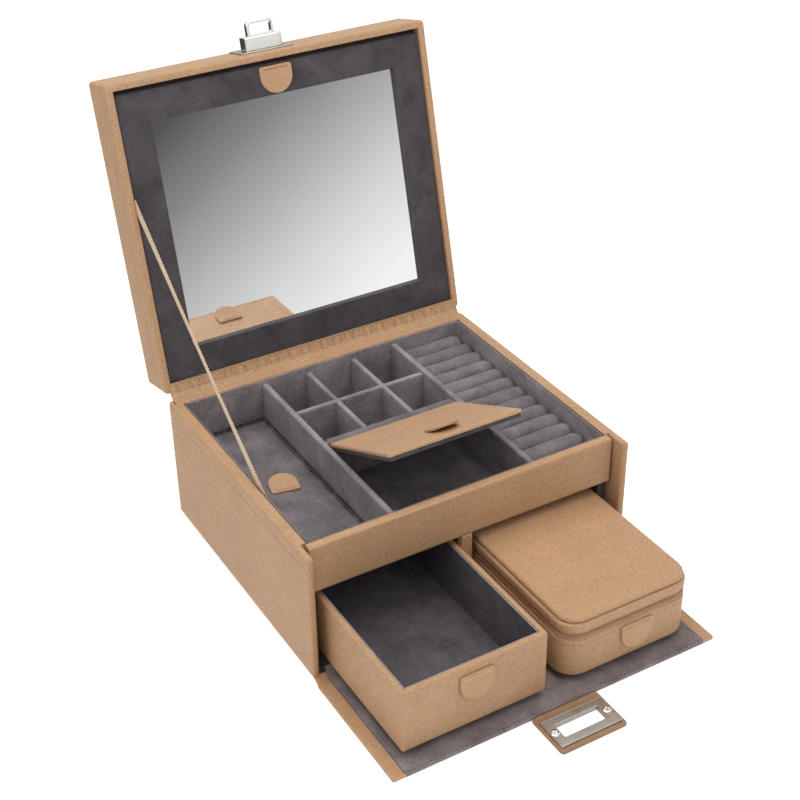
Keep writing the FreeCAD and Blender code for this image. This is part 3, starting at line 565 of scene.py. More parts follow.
def uPath(half, front, back, corner, steps, wallStep):
    # plan of the three walls: left cheek, round the back, right cheek, with outward normals.
    # wallStep is where the cheeks thicken to walls
    straight = np.concatenate([front + np.array([0, 0.25, 0.6, 1.1, 1.7, 2.4, 4.0]),
                               [front + 8, wallStep - caseLook["step"], wallStep + caseLook["step"]],
                               np.linspace(wallStep + 4, back - corner, 24)])
    left = np.stack([np.full(len(straight), -half), straight], 1)
    turn = np.linspace(math.pi, math.pi / 2, steps + 1)[1:]
    arc = np.stack([-half + corner + corner * np.cos(turn), back - corner + corner * np.sin(turn)], 1)
    across = np.linspace(-half + corner, half - corner, 24)[1:-1]
    middle = np.stack([across, np.full(len(across), back)], 1)
    path = np.concatenate([left, arc, middle, (arc * [-1, 1])[::-1], (left * [-1, 1])[::-1]])
    leftN = np.tile([-1.0, 0.0], (len(left), 1))
    arcN = np.stack([np.cos(turn), np.sin(turn)], 1)
    middleN = np.tile([0.0, 1.0], (len(middle), 1))
    normals = np.concatenate([leftN, arcN, middleN, (arcN * [-1, 1])[::-1], (leftN * [-1, 1])[::-1]])
    return path, normals


def makeCaseShell():
    lo, hi = nodeBox("case_shell")
    floorHi = nodeBox("tray_floor")[1]
    wallStep = nodeBox("front_rail")[1][1]
    cheek = hi[0] - nodeBox("face_stiles")[1][0]
    look = caseLook
    path, normals = uPath(hi[0], lo[1], hi[1], look["corner"], look["cornerSteps"], wallStep)
    sideWall, backWall = hi[0] - floorHi[0], hi[1] - floorHi[1]
    # the inside of the section is moved with the wall's thickness, which steps at the rail
    atBack = np.abs(normals[:, 1])
    thick = np.where(path[:, 1] < wallStep, cheek, sideWall + (backWall - sideWall) * atBack)
    outside = filletPath([(3, lo[2], 0), (0, lo[2], look["foot"]), (0, lo[2] + 4, 0), (0, hi[2] - 4, 0),
                          (0, hi[2], look["edge"]), (6, hi[2], 0)], 5)
    inside = filletPath([(-3, hi[2], 0), (0, hi[2], look["innerEdge"]), (0, lo[2], 0.6), (-2, lo[2], 0)], 4)
    offsets = np.concatenate([np.tile(np.minimum(outside[:, 0], 3.0), (len(path), 1)),
                              np.maximum(thick[:, None] + np.minimum(inside[:, 0], 0)[None], 3.2)], 1)
    heights = np.concatenate([outside[:, 1], inside[:, 1]])
    r = look["frontEdge"]
    near = np.clip(r - (path[:, 1] - lo[1]), 0, r)
    squeeze = np.stack([r - np.sqrt(r * r - near * near), (r + 0.6) * (1 - np.sqrt(1 - (near / r) ** 2))], 1)
    shell = sweepWall("caseShell", path, normals, offsets, heights, leather, squeeze)
    place(shell, "case", "case_leather", "case_shell")
    z = hi[2] - look["stitchDrop"]
    lines = [((side * hi[0], lo[1] + 6, z), (side * hi[0], hi[1] - 9, z)) for side in (-1, 1)]
    seam("caseStitches", "case", "case_leather", lines, [(-1, 0, 0), (1, 0, 0)], look["stitchPitch"],
         stitchThread, look["stitch"])


makeCaseShell()


frontLook = {"railEdge": 1.8, "railCorner": 0.6, "stripEdge": 0.4, "postEdge": 1.2}


def makeFront():
    look = frontLook
    lo, hi = nodeBox("front_rail")
    rail = roundedBlock("frontRail", lo, hi, look["railEdge"], leather, look["railCorner"])
    place(rail, "case", "case_leather", "front_rail")
    strips = nodePoints("face_stiles")
    for name, side, replaced in (("leftStrip", strips[:, 0] < 0, ["face_stiles"]),
                                 ("rightStrip", strips[:, 0] > 0, [])):
        # the strips take the darker suede copy, painted shade behind the rail
        piece = roundedBlock(name, strips[side].min(0), strips[side].max(0), look["stripEdge"], shadedSuede)
        place(piece, "case", "suede_lining", *replaced)
    lo, hi = nodeBox("centre_post")
    post = roundedBlock("centrePost", lo, hi, look["postEdge"], leather)
    place(post, "case", "case_leather", "centre_post")


makeFront()
print("outer case made")


# Tray

trayLook = {"dividerEdge": 1.5, "dividerCorner": 0.4, "linerEdge": 0.45, "corner": 1.5,
            "clothGap": 0.5, "shortWallLift": 0.05, "shadow": (-0.6, 0.1), "shadowRise": 0.2}


def makeTray():
    look = trayLook
    lo, hi = nodeBox("tray_liner")
    thick = nodeBox("insert_suede")[0][0] - lo[0] - look["clothGap"]
    edge = look["linerEdge"]
    profile = filletPath([(thick * 0.5, lo[2], 0), (0, lo[2], 0.1), (0, hi[2], edge), (thick, hi[2], edge),
                          (thick, lo[2], 0.1), (thick * 0.6, lo[2], 0)], 4)
    # liner and dividers take the lighter suede copy, painted light inside the tray
    place(hoop("trayLiner", lo, hi, look["corner"], profile, litTraySuede), "case", "suede_lining", "tray_liner")
    edgeStrip("trayShadowLine", lo, hi, look["corner"], *look["shadow"], hi[2] + look["shadowRise"],
              paintedShadow, "case")

    def divider(name, lo, hi, *replaced):
        corner = look["dividerCorner"]
        piece = roundedBlock(name, lo, hi, corner, litTraySuede, corner, top=look["dividerEdge"])
        place(piece, "case", "suede_lining", *replaced)
    for name, node in (("leftDivider", "left_divider"), ("rightDivider", "right_divider"),
                       ("frontRowWall", "front_row_wall"), ("crossDivider", "cross_divider")):
        divider(name, *nodeBox(node), node)
    walls = nodePoints("short_dividers")
    lift = np.array([0, 0, look["shortWallLift"]])
    for name, side, replaced in (("shortDivider1", walls[:, 0] < 0, ["short_dividers"]),
                                 ("shortDivider2", walls[:, 0] > 0, [])):
        divider(name, walls[side].min(0), walls[side].max(0) + lift, *replaced)


makeTray()


ringLook = {"rolls": 13, "gap": 0.5, "slab": 84.0, "endGap": 0.8, "creaseTop": 2.5, "sag": 0.3,
            "pucker": 0.28, "puckers": 14, "fill": 0.9}


def makeRingPad():
    # one surface z(x, y): a flat slab with a row of round-topped rolls whose right ends are domed
    look = ringLook
    lo, hi = nodeBox("ring_pad")
    pitch = (hi[1] - lo[1]) / look["rolls"]
    radius = (pitch - look["gap"]) / 2
    crown, slab = hi[2], look["slab"]
    endX = hi[0] - look["endGap"]
    dome = endX - radius + radius * np.sin(np.linspace(0.1, math.pi / 2, 14))
    xs = np.concatenate([[lo[0]], np.linspace(lo[0], endX - radius, 24), dome, [endX + 0.3, hi[0]]])
    angle = np.linspace(-math.pi / 2, math.pi / 2, 19)
    ys = (lo[1] + pitch * (np.arange(look["rolls"])[:, None] + 0.5) + radius * np.sin(angle)[None]).ravel()
    x, y = np.meshgrid(xs, ys, indexing="ij")
    across = np.broadcast_to(np.tile(np.sin(angle), look["rolls"])[None], x.shape)
    past = np.clip((x - (endX - radius)) / radius, 0, 1)
    reach = np.clip(1 - across ** 2 - past ** 2, 0, None)
    # the cloth sags a little along each roll and gathers in small puckers round the dome
    soft = look["sag"] * np.sin(x * 0.17 + y * 0.41) * np.sqrt(reach)
    gather = 0.5 + 0.5 * np.cos(np.arctan2(across, past + 0.05) * look["puckers"])
    soft -= look["pucker"] * past * gather * np.sqrt(reach)
    z = crown - radius + radius * np.sqrt(reach) + soft
    z = np.where(x > endX, slab + 0.8, z)
    z = np.where(np.abs(across) > 0.999, np.minimum(z, slab + look["creaseTop"]), z)
    top = np.stack([x, y, z], -1)
    rim = np.concatenate([top[:1], top, top[-1:]], 0)
    rim[0, :, 2] = rim[-1, :, 2] = lo[2]
    rim = np.concatenate([rim[:, :1], rim, rim[:, -1:]], 1)
    rim[:, 0, 2] = rim[:, -1, 2] = lo[2]
    rim[:, 0, 1], rim[:, -1, 1] = lo[1], hi[1]
    rows, columns = rim.shape[:2]
    pad = toObject("ringPad", rim, gridFaces(rows, columns), padSuede, [gridEdge(rows, columns)], smooth=60)
    place(pad, "case", "suede_lining", "ring_pad")


makeRingPad()
print("tray made")


# Lift-out insert

insertLook = {"cloth": 0.8, "pitch": 5.0, "cut": 1.8, "lean": 1.5, "thick": 0.5, "shadowSheet": 0.3,
              "shadowSheetDrop": 1.1, "shadowSheetEdge": 0.1}


def pinkedStrip(start, along, inward, length, high, columns=6):
    # a strip of cloth whose top edge is cut in zigzags; its foot is at the wall, and it leans
    # inwards as it rises
    look = insertLook
    teeth = int(round(length / look["pitch"]))
    s = np.linspace(0, length, teeth * 2 + 1)
    tooth = np.abs((s / (length / teeth)) % 1 - 0.5) * 2
    top = high - look["cut"] * tooth
    wave = 0.35 * np.sin(s * 0.23) + 0.25 * np.sin(s * 0.61 + 1)
    share = np.linspace(0, 1, columns)
    lean = (wave[:, None] + look["lean"]) * share ** 1.4
    front = (start + s[:, None, None] * along + (top[:, None] * share)[..., None] * np.array([0, 0, 1])
             + lean[..., None] * inward)
    back = front + inward * look["thick"]
    return np.concatenate([front, back[:, ::-1]], 1)


def makeInsert():
    look = insertLook
    lo, hi = nodeBox("insert_suede")
    base = nodeBox("insert_board")[1][2]
    # soft undulating cloth, its edge just above the board's own top
    rows, columns = 26, 60
    u, v = np.linspace(0, 1, rows), np.linspace(0, 1, columns)
    x = lo[0] + (hi[0] - lo[0]) * u[:, None] + 0 * v
    y = lo[1] + (hi[1] - lo[1]) * v[None] + 0 * u[:, None]
    border = np.minimum(np.minimum(u[:, None], 1 - u[:, None]) * 8, np.minimum(v[None], 1 - v[None]) * 24)
    waves = 0.28 * np.sin(x * 0.11 + y * 0.05) * np.cos(y * 0.07) + 0.2 * np.sin(y * 0.13 + x * 0.2)
    z = base + look["cloth"] + np.clip(border, 0, 1) * waves
    top = np.stack([x, y, z], -1)
    lower = top.copy()
    lower[..., 2] = base
    points = np.concatenate([top.reshape(-1, 3), lower.reshape(-1, 3)])
    faces = gridFaces(rows, columns)
    count = rows * columns
    ring = np.array(gridEdge(rows, columns))
    around = np.roll(ring, -1)
    walls = np.stack([ring, around, around + count, ring + count], 1)
    faces = np.concatenate([faces, faces[:, ::-1] + count, walls])
    cloth = toObject("insertSuede", points, faces, insertSuede)
    place(cloth, "insert", "suede_lining", "insert_suede")
    high = hi[2] - base
    width, depth = hi[0] - lo[0], hi[1] - lo[1]
    # painted shadow: dark sheets behind the pinked edges, seen between their teeth where shade falls
    t, rise = look["shadowSheet"], high - look["shadowSheetDrop"]
    for name, low, top in (("shadowSheetRight", (hi[0] - t, lo[1]), (hi[0], hi[1])),
                           ("shadowSheetLeft", (lo[0], lo[1]), (lo[0] + t, hi[1])),
                           ("shadowSheetBack", (lo[0], hi[1] - t), (hi[0], hi[1]))):
        shadowSheetPiece = roundedBlock(name, np.array([*low, base]), np.array([*top, base + rise]),
                            look["shadowSheetEdge"], paintedShadow)
        place(shadowSheetPiece, "insert", "suede_lining")
    for name, corner, along, inward, length in (
            ("pinkedBack", (lo[0], hi[1]), (1.0, 0, 0), (0, -1.0, 0), width),
            ("pinkedRight", (hi[0], lo[1]), (0, 1.0, 0), (-1.0, 0, 0), depth),
            ("pinkedLeft", (lo[0], lo[1]), (0, 1.0, 0), (1.0, 0, 0), depth)):
        sheet = pinkedStrip(np.array([*corner, base]), np.array(along), np.array(inward), length, high)
        rows, columns = sheet.shape[:2]
        caps = [range(columns), range((rows - 1) * columns, rows * columns)]
        strip = toObject(name, sheet, gridFaces(rows, columns, False, True), insertSuede, caps)
        place(strip, "insert", "suede_lining")


makeInsert()


# Leather tabs

tabLook = {"width": 26.0, "narrow": 22.0, "length": 20.5, "thick": 2.0, "corner": 2.0, "edge": 0.55,
           "bow": 0.25, "rise": 1.6, "coverRise": 3.6, "stitchInset": 2.2, "stitchPitch": 2.6,
           "stitchMargin": 3.0, "stitch": (1.9, 0.9, 0.35), "insertTurn": 11.0}


def tabOutline(inset, width):
    # D shape, sewn edge along the first axis at zero, round end at minus length
    look = tabLook
    half = width / 2 - inset
    shoulder = look["length"] - width / 2
    top = -inset
    corner = max(look["corner"] - inset, 0.3)
    turn = np.linspace(0, math.pi / 2, 6)
    right = np.stack([half - corner + corner * np.sin(turn), top - corner + corner * np.cos(turn)], 1)
    bend = np.linspace(0, math.pi, 33)
    end = np.stack([half * np.cos(bend), -shoulder - half * np.sin(bend)], 1)
    left = (right * [-1, 1])[::-1]
    across = np.stack([np.linspace(-half + corner, half - corner, 12)[1:-1], np.full(10, top)], 1)
    return np.concatenate([right, end, left, across])


def makeTab(name, node, body, along, down, out, closed=None, pose=None, lift=0.0,
            thread=stitchThread, width=tabLook["width"]):
    # The sewn edge runs along; down points to the round end, which lift raises from the surface.
    # Both faces are closed by rings drawn in sideways to the tab's middle line.
    look = tabLook
    axes = np.stack([along, down, out]).astype(float)
    local = nodePoints(node, closed) @ axes.T
    low, high = local.min(0), local.max(0)
    origin = np.array([(low[0] + high[0]) / 2, low[1], low[2]]) @ axes
    edge = filletPath([(1.6, 0, 0), (0, 0, look["edge"] * 0.7), (0, look["thick"], look["edge"]),
                       (1.6, look["thick"], 0)], 3)
    rings = [(edge[0, 0], edge[0, 1], side) for side in (0.0, 0.5)]
    rings += [(inset, height, 1.0) for inset, height in edge]
    bow = look["bow"] if lift else 0
    rings += [(edge[-1, 0], look["thick"] + bow * (1 - side ** 2), side) for side in (0.75, 0.5, 0.25, 0.0)]
    flat = []
    for inset, height, side in rings:
        outline = tabOutline(inset, width) * [side, 1]
        flat.append(np.concatenate([outline, np.full((len(outline), 1), height)], 1))
    shape = np.stack(flat) * [1, -1, 1]
    shape[..., 2] += lift * np.clip(shape[..., 1] / look["length"], 0, 1) ** 1.6
    points = shape @ axes + origin
    if pose:
        points = pose(points)
    piece = toObject(name, points, gridFaces(points.shape[0], points.shape[1], False, True), tabLeather)
    place(piece, body, "tab_leather", node)
    half, inset = width / 2 - look["stitchMargin"], look["stitchInset"]
    raised = look["thick"] + lift * (inset / look["length"]) ** 1.6 + 0.05
    ends = [np.array([side * half, inset, raised]) @ axes + origin for side in (-1, 1)]
    seam(name + "Stitches", body, "tab_leather", [ends], [out], look["stitchPitch"], thread,
         look["stitch"], pose)


def makeTabs():
    rise, narrow = tabLook["rise"], tabLook["narrow"]
    makeTab("drawerTab", "drawer_tab", "drawer", (1, 0, 0), (0, 0, -1), (0, -1, 0), lift=rise,
            thread=paleThread)
    makeTab("travelTab", "travel_tab", "travel_case", (1, 0, 0), (0, 0, -1), (0, -1, 0), lift=rise)
    turn = math.radians(tabLook["insertTurn"])
    makeTab("insertTab", "insert_tab", "insert", (-math.cos(turn), math.sin(turn), 0),
            (math.sin(turn), math.cos(turn), 0), (0, 0, 1), lift=rise, width=narrow)
    makeTab("coverTab", "cover_tab", "cover", (1, 0, 0), (0, -1, 0), (0, 0, 1), "cover", raiseCover,
            tabLook["coverRise"], width=narrow)
    # this one lies flat, so that it stays clear of the front rail when the lid is shut
    makeTab("mirrorTab", "mirror_tab", "mirror_door", (1, 0, 0), (0, 1, 0), (0, 0, -1), "lid", openLid)


makeTabs()
print("insert and tabs made")


# Compartment cover

coverLook = {"edge": 1.6, "corner": 1.2, "seam": 4.8, "crown": 0.25, "stripHalf": 0.35, "stripBend": 1.4,
             "liningEdge": 0.5, "liningCorner": 1.0}


def makeCover():
    look = coverLook
    lo, hi = nodeBox("cover_board", "cover")
    top = hi[2] - look["crown"]
    edge = filletPath([(2.0, lo[2], 0), (0, lo[2], 0.9), (0, top - 0.2, look["edge"]), (2.4, top, 0)], 5)
    # inside the folded border the skin is padded: it dips at the seam, then rises to a low crown
    seamAt = look["seam"]
    dips = [(seamAt - 0.6, top), (seamAt, top - 0.3), (seamAt + 0.6, top - 0.1), (8, top + 0.1),
            (14, top + 0.2), (26, top + look["crown"]), (45, top + look["crown"])]
    profile = np.concatenate([edge, dips])
    cover = loopPiece("coverLeather", lo, hi, look["corner"], profile, leather, raiseCover)
    place(cover, "cover", "case_leather", "cover_board")
    lo, hi = nodeBox("cover_lining", "cover")
    # the lining takes the darker suede copy: painted shade under the raised cover
    lining = roundedBlock("coverLining", lo, hi, look["liningEdge"], shadedSuede, look["liningCorner"],
                          raiseCover)
    place(lining, "cover", "suede_lining", "cover_lining")
    # strip of suede from the wall behind to the cover's lower edge, bending between the two
    lo, hi = nodeBox("cover_hinge_strip")
    wallLo, wallHi = nodeBox("front_row_wall")
    hinge = np.array(coverPivot)
    bend = [(wallHi[1], wallHi[2] + 0.35), (wallLo[1] + 1.0, wallHi[2] + 0.4),
            ((wallLo[1] + hinge[0]) / 2 + 0.4, (wallHi[2] + hinge[1]) / 2 - 0.2),
            (hinge[0] + 0.3, hinge[1] - 0.35), (hinge[0] - 6.0, hinge[1] + 1.6)]
    strip = foldedBand("coverHingeStrip", filletPath([(a, b, look["stripBend"]) for a, b in bend], 6),
                       np.linspace(lo[0], hi[0], 30), look["stripHalf"], look["stripHalf"], insertSuede)
    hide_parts("cover_hinge_strip")
    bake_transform(strip)


makeCover()
print("cover made")


# Lid, modelled closed and opened by openLid

lidLook = {"corner": 3.0, "wall": 5.5, "panel": 4.0, "rimRound": 1.6, "ridge": 3.2, "topRound": 2.5,
            "seam": 12.0, "stitchPitch": 3.4, "stitch": (1.9, 0.6, 0.25)}


def makeLid():
    look = lidLook
    lo, hi = nodeBox("lid_shell", "lid")
    rim, wall = lo[2], look["wall"]
    # outside from the closed top down to the rim, then up the inside. A thin ridge runs round the
    # outside where the rim's strip is folded over, and a sewn groove above it
    ridge, seamZ = rim + look["ridge"], rim + look["seam"]
    corners = [(14, hi[2], 0), (0, hi[2], look["topRound"])]
    corners += [(inset, seamZ + dz, 0) for dz, inset in
                ((1.4, 0), (0.5, 0.3), (0, 0.6), (-0.5, 0.3), (-1.4, 0))]
    corners += [(inset, ridge + dz, 0) for dz, inset in
                ((0.9, 0.0), (0.45, -0.12), (0.1, -0.2), (-0.15, 0.1), (-0.5, 0.18), (-0.9, 0.0))]
    corners += [(0, rim, look["rimRound"]), (wall, rim, 0.8), (wall, hi[2] - look["panel"], 0),
                (14, hi[2] - look["panel"], 0)]
    shell = loopPiece("lidShell", lo, hi, look["corner"], filletPath(corners, 6), leather, openLid,
                      sideSteps=24)
    place(shell, "lid", "case_leather", "lid_shell")
    lines = [((x, lo[1] + 8, seamZ), (x, hi[1] - 8, seamZ)) for x in (lo[0] + 0.5, hi[0] - 0.5)]
    seam("lidStitches", "lid", "case_leather", lines, [(-1, 0, 0), (1, 0, 0)], look["stitchPitch"],
         stitchThread, look["stitch"], openLid)


makeLid()


doorLook = {"corner": 3.0, "edge": 1.3, "pillow": 0.15, "windowEdge": 0.35, "windowCorner": 0.6,
            "overlap": 3.0}


def makeMirrorDoor():
    look = doorLook
    lo, hi = nodeBox("mirror_frame", "lid")
    glassLo, glassHi = nodeBox("mirror_glass", "lid")
    windowLo, windowHi = glassLo + look["overlap"], glassHi - look["overlap"]
    # section of the frame from the outer back edge over the face to the window; each ring lies
    # between the outer rectangle (share 0) and the window's (share 1)
    outside = filletPath([(0, hi[2], 0), (0, lo[2], look["edge"]), (3, lo[2], 0)], 5)[:-1]
    sections = [(0.0, inset, height, look["corner"]) for inset, height in outside]
    for share in np.linspace(0.1, 0.95, 16):
        height = lo[2] - look["pillow"] * math.sin(share * math.pi)
        sections.append((share, 0.0, height, look["corner"] * (1 - share)))
    edge = filletPath([(-1.2, lo[2], 0), (0, lo[2], look["windowEdge"]), (0, glassLo[2], 0.1),
                       (-3.0, glassLo[2] + 0.2, 0), (-3.0, hi[2], 0)], 4)
    sections += [(1.0, inset, height, look["windowCorner"]) for inset, height in edge]
    rings = []
    for share, inset, height, radius in sections:
        a = lo + (windowLo - lo) * share
        b = hi + (windowHi - hi) * share
        loop = roundedLoop(*((b - a) / 2)[:2], radius, inset, 6, 40)[0]
        rings.append(np.concatenate([loop + ((a + b) / 2)[:2], np.full((len(loop), 1), height)], 1))
    points = openLid(np.stack(rings))
    # the frame takes the darker suede copy, painted shade inside the lid
    piece = toObject("mirrorFrame", points, gridFaces(*points.shape[:2], True, True), shadedLidSuede)
    place(piece, "mirror_door", "suede_lining", "mirror_frame")


makeMirrorDoor()


hingeLook = {"inset": 0.5, "skin": 0.55, "under": 0.15, "lap": 9.0, "wrinkle": 0.3, "foldWidth": 0.17}


def makeHingeLeather():
    # smooth band from the back of the tray's rim over the hinge to the lid's inner edge, finely
    # wrinkled along the fold
    look = hingeLook
    lo, hi = nodeBox("lid_hinge_leather")
    caseTop = nodeBox("case_shell")[1]
    back, rim = caseTop[1], caseTop[2]
    lidHi = nodeBox("lid_shell", "lid")[1]
    lidRim = nodeBox("lid_shell", "lid")[0][2]
    lidIn = openLid(np.array([[0, lidHi[1] - 5.2, lidRim]]))[0]
    lidOut = openLid(np.array([[0, lidHi[1] - 0.8, lidRim]]))[0]
    line = filletPath([(back - look["lap"], rim - 2.6, 0), (back - look["lap"] + 0.4, rim + 0.1, 1.0),
                       (back - 2.2, rim + 0.1, 2.5), (lidOut[1] - 1.5, lidOut[2] - 0.9, 1.6),
                       (lidIn[1] - 0.2, lidIn[2] + 0.15, 1.2), (lidIn[1] + 0.4, lidIn[2] + 2.5, 0)], 6)
    xs = np.linspace(lo[0] + look["inset"], hi[0] - look["inset"], 300)[:, None]
    along = np.linspace(0, 1, len(line))[None]
    fold = np.exp(-((along - 0.5) / look["foldWidth"]) ** 2)
    ripple = look["wrinkle"] * fold * (np.sin(xs * 0.9 + 4 * along) * np.sin(xs * 0.23 + 1)
                                       + 0.7 * np.sin(xs * 2.3 + 18 * along + 2 * np.sin(xs * 0.4)))
    band = foldedBand("lidHingeLeather", line, xs[:, 0], look["skin"], look["under"], leather, ripple)
    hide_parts("lid_hinge_leather")
    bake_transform(band)


makeHingeLeather()
print("lid made")


# Ribbon stay

ribbonLook = {"width": 8.0, "thick": 0.5, "picot": 0.75, "picotPitch": 2.6, "braid": 0.14, "braidPitch": 1.1,
              "sag": 1.6, "twist": 7, "caseY": -30.0, "lidAlong": 147.0, "lidRise": 2.4}


def makeRibbon():
    # flat braided ribbon from the tray's left seam to the lid's left wall, pulled nearly taut
    look = ribbonLook
    linerLo, linerHi = nodeBox("tray_liner")
    start = np.array([linerLo[0] + 0.35, look["caseY"], linerHi[2] - 2.0])
    lidLo, lidHi = nodeBox("lid_shell", "lid")
    end = openLid(np.array([[lidLo[0] + lidLook["wall"] + 0.3, lidHi[1] - look["lidAlong"],
                             lidLo[2] + look["lidRise"]]]))[0]
    run = end - start
    length = np.linalg.norm(run)
    along = run / length
    side = np.cross(along, [1.0, 0, 0])
    side /= np.linalg.norm(side)
    out = np.cross(side, along)
    t = np.linspace(0, 1, 420)
    centre = start + run * t[:, None]
    centre[:, 2] -= look["sag"] * np.sin(t * math.pi)
    # the braid's loops bulge at each side, and its plait runs in chevrons
    across = np.linspace(-1, 1, 9)
    stagger = np.where(across < 0, math.pi / 2, 0)[None]
    phase = t[:, None] * length * math.pi / look["picotPitch"] + stagger
    half = look["width"] / 2 - look["picot"] * (1 - np.abs(np.sin(phase)))
    plait = t[:, None] * length / look["braidPitch"] + np.abs(across)[None] * 2.2
    braid = look["braid"] * np.sin(plait * math.pi)
    # it twists a few degrees between its two fixed ends
    twist = np.radians(look["twist"] * np.sin(t * math.pi * 1.1))
    sideT = side * np.cos(twist)[:, None] + out * np.sin(twist)[:, None]
    outT = out * np.cos(twist)[:, None] - side * np.sin(twist)[:, None]
    face = centre[:, None] + sideT[:, None] * across[None, :, None] * half[..., None]
    lift = outT[:, None] * (look["thick"] / 2 + braid)[..., None]
    points = np.concatenate([face + lift, (face - lift)[:, ::-1]], 1)
    rows, columns = points.shape[:2]
    v = np.concatenate([across, across[::-1]]) * look["width"] / 2
    uv = np.stack(np.broadcast_arrays((t * length)[:, None], v[None]), -1)
    caps = [range(columns), range((rows - 1) * columns, rows * columns)]
    faces = gridFaces(rows, columns, False, True)
    ribbon = toObject("stayRibbon", points, faces, ribbonWeave, caps, uv, smooth=60)
    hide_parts("stay_ribbon")
    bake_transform(ribbon)


makeRibbon()
print("ribbon made")


# Catch on the lid

catchLook = {"bar": 2.6, "corner": 4.0, "gap": 0.2, "foot": 1.4, "footInset": 0.4, "footEdge": 0.3,
             "plateEdge": 0.35, "plateCorner": 2.0, "lockEdge": 0.7, "lockCorner": 1.0, "barRound": 0.9}


def makeCatch():
    look = catchLook
    lo, hi = nodeBox("catch_plate", "lid")
    plate = roundedBlock("catchPlate", lo, hi, look["plateEdge"], satinNickel, look["plateCorner"],
                         openLid, 1)
    place(plate, "lid", "satin_nickel", "catch_plate")
    lockLo, lockHi = nodeBox("lock_box", "lid")
    lock = roundedBlock("lockBox", lockLo, lockHi, look["lockEdge"], brightNickel, look["lockCorner"],
                        openLid, 1)
    place(lock, "lid", "bright_nickel", "lock_box")
    # stirrup: a rounded bar swept round three sides, closed by a thin foot on the lock box
    lo, hi = nodeBox("turn_catch", "lid")
    base, cut = lockLo[1] - look["gap"], look["bar"] / 2
    bend = look["corner"] - cut
    line = filletPath([(lo[0] + cut, base - 0.05, 0), (lo[0] + cut, lo[1] + cut, bend),
                       (hi[0] - cut, lo[1] + cut, bend), (hi[0] - cut, base - 0.05, 0)], 8)
    tangent = np.gradient(line, axis=0)
    tangent /= np.linalg.norm(tangent, axis=1)[:, None]
    normal = np.stack([-tangent[:, 1], tangent[:, 0]], 1)
    section = roundedLoop(cut, (hi[2] - lo[2]) / 2, look["barRound"], 0.0, 4, 3)[0]
    points = np.zeros((len(line), len(section), 3))
    points[..., :2] = line[:, None] + normal[:, None] * section[None, :, :1]
    points[..., 2] = (lo[2] + hi[2]) / 2 + section[None, :, 1]
    caps = [range(len(section)), range((len(line) - 1) * len(section), len(line) * len(section))]
    faces = gridFaces(len(line), len(section), False, True)
    loop = toObject("turnCatch", openLid(points), faces, brightNickel, caps)
    place(loop, "catch", "bright_nickel", "turn_catch")
    inset = look["footInset"]
    foot = roundedBlock("turnCatchFoot", np.array([lo[0] + inset, base - look["foot"], lo[2] + inset]),
                        np.array([hi[0] - inset, base, hi[2] - inset]), look["footEdge"], brightNickel,
                        inset, openLid)
    place(foot, "catch", "bright_nickel")


makeCatch()
print("catch made")


# Front flap

flapLook = {"edge": 1.1, "corner": 1.5, "wrap": 0.3, "wrapFoot": 0.5, "liningRise": 0.15,
            "stitchInset": 1.6, "stitchPitch": 3.2, "step": 0.5, "hingeHalf": 0.55, "foldHalf": 0.3,
            "liningEdge": 0.6, "liningCorner": 0.8, "stitch": (1.9, 0.6, 0.12)}


def makeFlap():
    look = flapLook
    lo, hi = nodeBox("flap_board")
    cover = roundedBlock("flapBoard", lo, hi, look["edge"], leather, look["corner"])
    place(cover, "flap", "case_leather", "flap_board")
    # the suede runs over the front edge; between it and the leather border stand two dark strips of the
    # shaded suede copy, a painted shadow line at the step
    suedeLo, suedeHi = nodeBox("flap_lining")
    suedeHi[2] += look["liningRise"]
    wrapLo = np.array([suedeLo[0], lo[1] - look["wrap"], look["wrapFoot"]])
    lining = roundedBlock("flapLining", wrapLo, suedeHi, look["liningEdge"], flapSuede, look["liningCorner"])
    place(lining, "flap", "suede_lining", "flap_lining")
    for name, x in (("flapShadowLineLeft", suedeLo[0] - look["step"]), ("flapShadowLineRight", suedeHi[0] - 0.1)):
        piece = roundedBlock(name, np.array([x, lo[1] + 1.2, hi[2] - 0.5]),
                             np.array([x + look["step"] + 0.1, hi[1] - 0.5, hi[2] + 0.2]), 0.1, shadedSuede)
        place(piece, "flap", "suede_lining")
    y, z = wrapLo[1] + look["stitchInset"], suedeHi[2]
    line = ((suedeLo[0] + 2, y, z), (suedeHi[0] - 2, y, z))
    seam("flapStitches", "flap", "suede_lining", [line], [(0, 0, 1)], look["stitchPitch"], shadedSuede,
         look["stitch"])
    # hinge leather and the suede over it: bands that bend from under the case to the flap
    front = nodeBox("case_shell")[0][1]
    leatherLo, leatherHi = nodeBox("flap_hinge_leather")
    foldLo, foldHi = nodeBox("fold_lining")
    join = hi[1]
    bands = (("flapHingeLeather", "flap_hinge_leather", leather, "case_leather", leatherLo, leatherHi,
              look["hingeHalf"], [(front + 15, 3.7, 0), (front + 1, 3.7, 4), (front - 3.4, 1.7, 3),
                                  (join, 1.25, 0)]),
             ("foldLining", "fold_lining", flapSuede, "suede_lining", foldLo, foldHi,
              look["foldHalf"], [(foldHi[1], 9.1, 0), (front + 0.4, 8.4, 1.5), (front - 2.4, 4.5, 3),
                                 (join, 3.4, 0)]))
    for name, node, material, slot, low, high, half, corners in bands:
        xs = np.linspace(low[0], high[0], 140)
        line = filletPath(corners, 6)
        ripple = np.tile((0.14 * np.sin(xs * 0.31) + 0.1 * np.sin(xs * 0.83 + 2))[:, None], (1, len(line)))
        piece = foldedBand(name, line, xs, half, half, material, ripple)
        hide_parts(node)
        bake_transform(piece)


makeFlap()


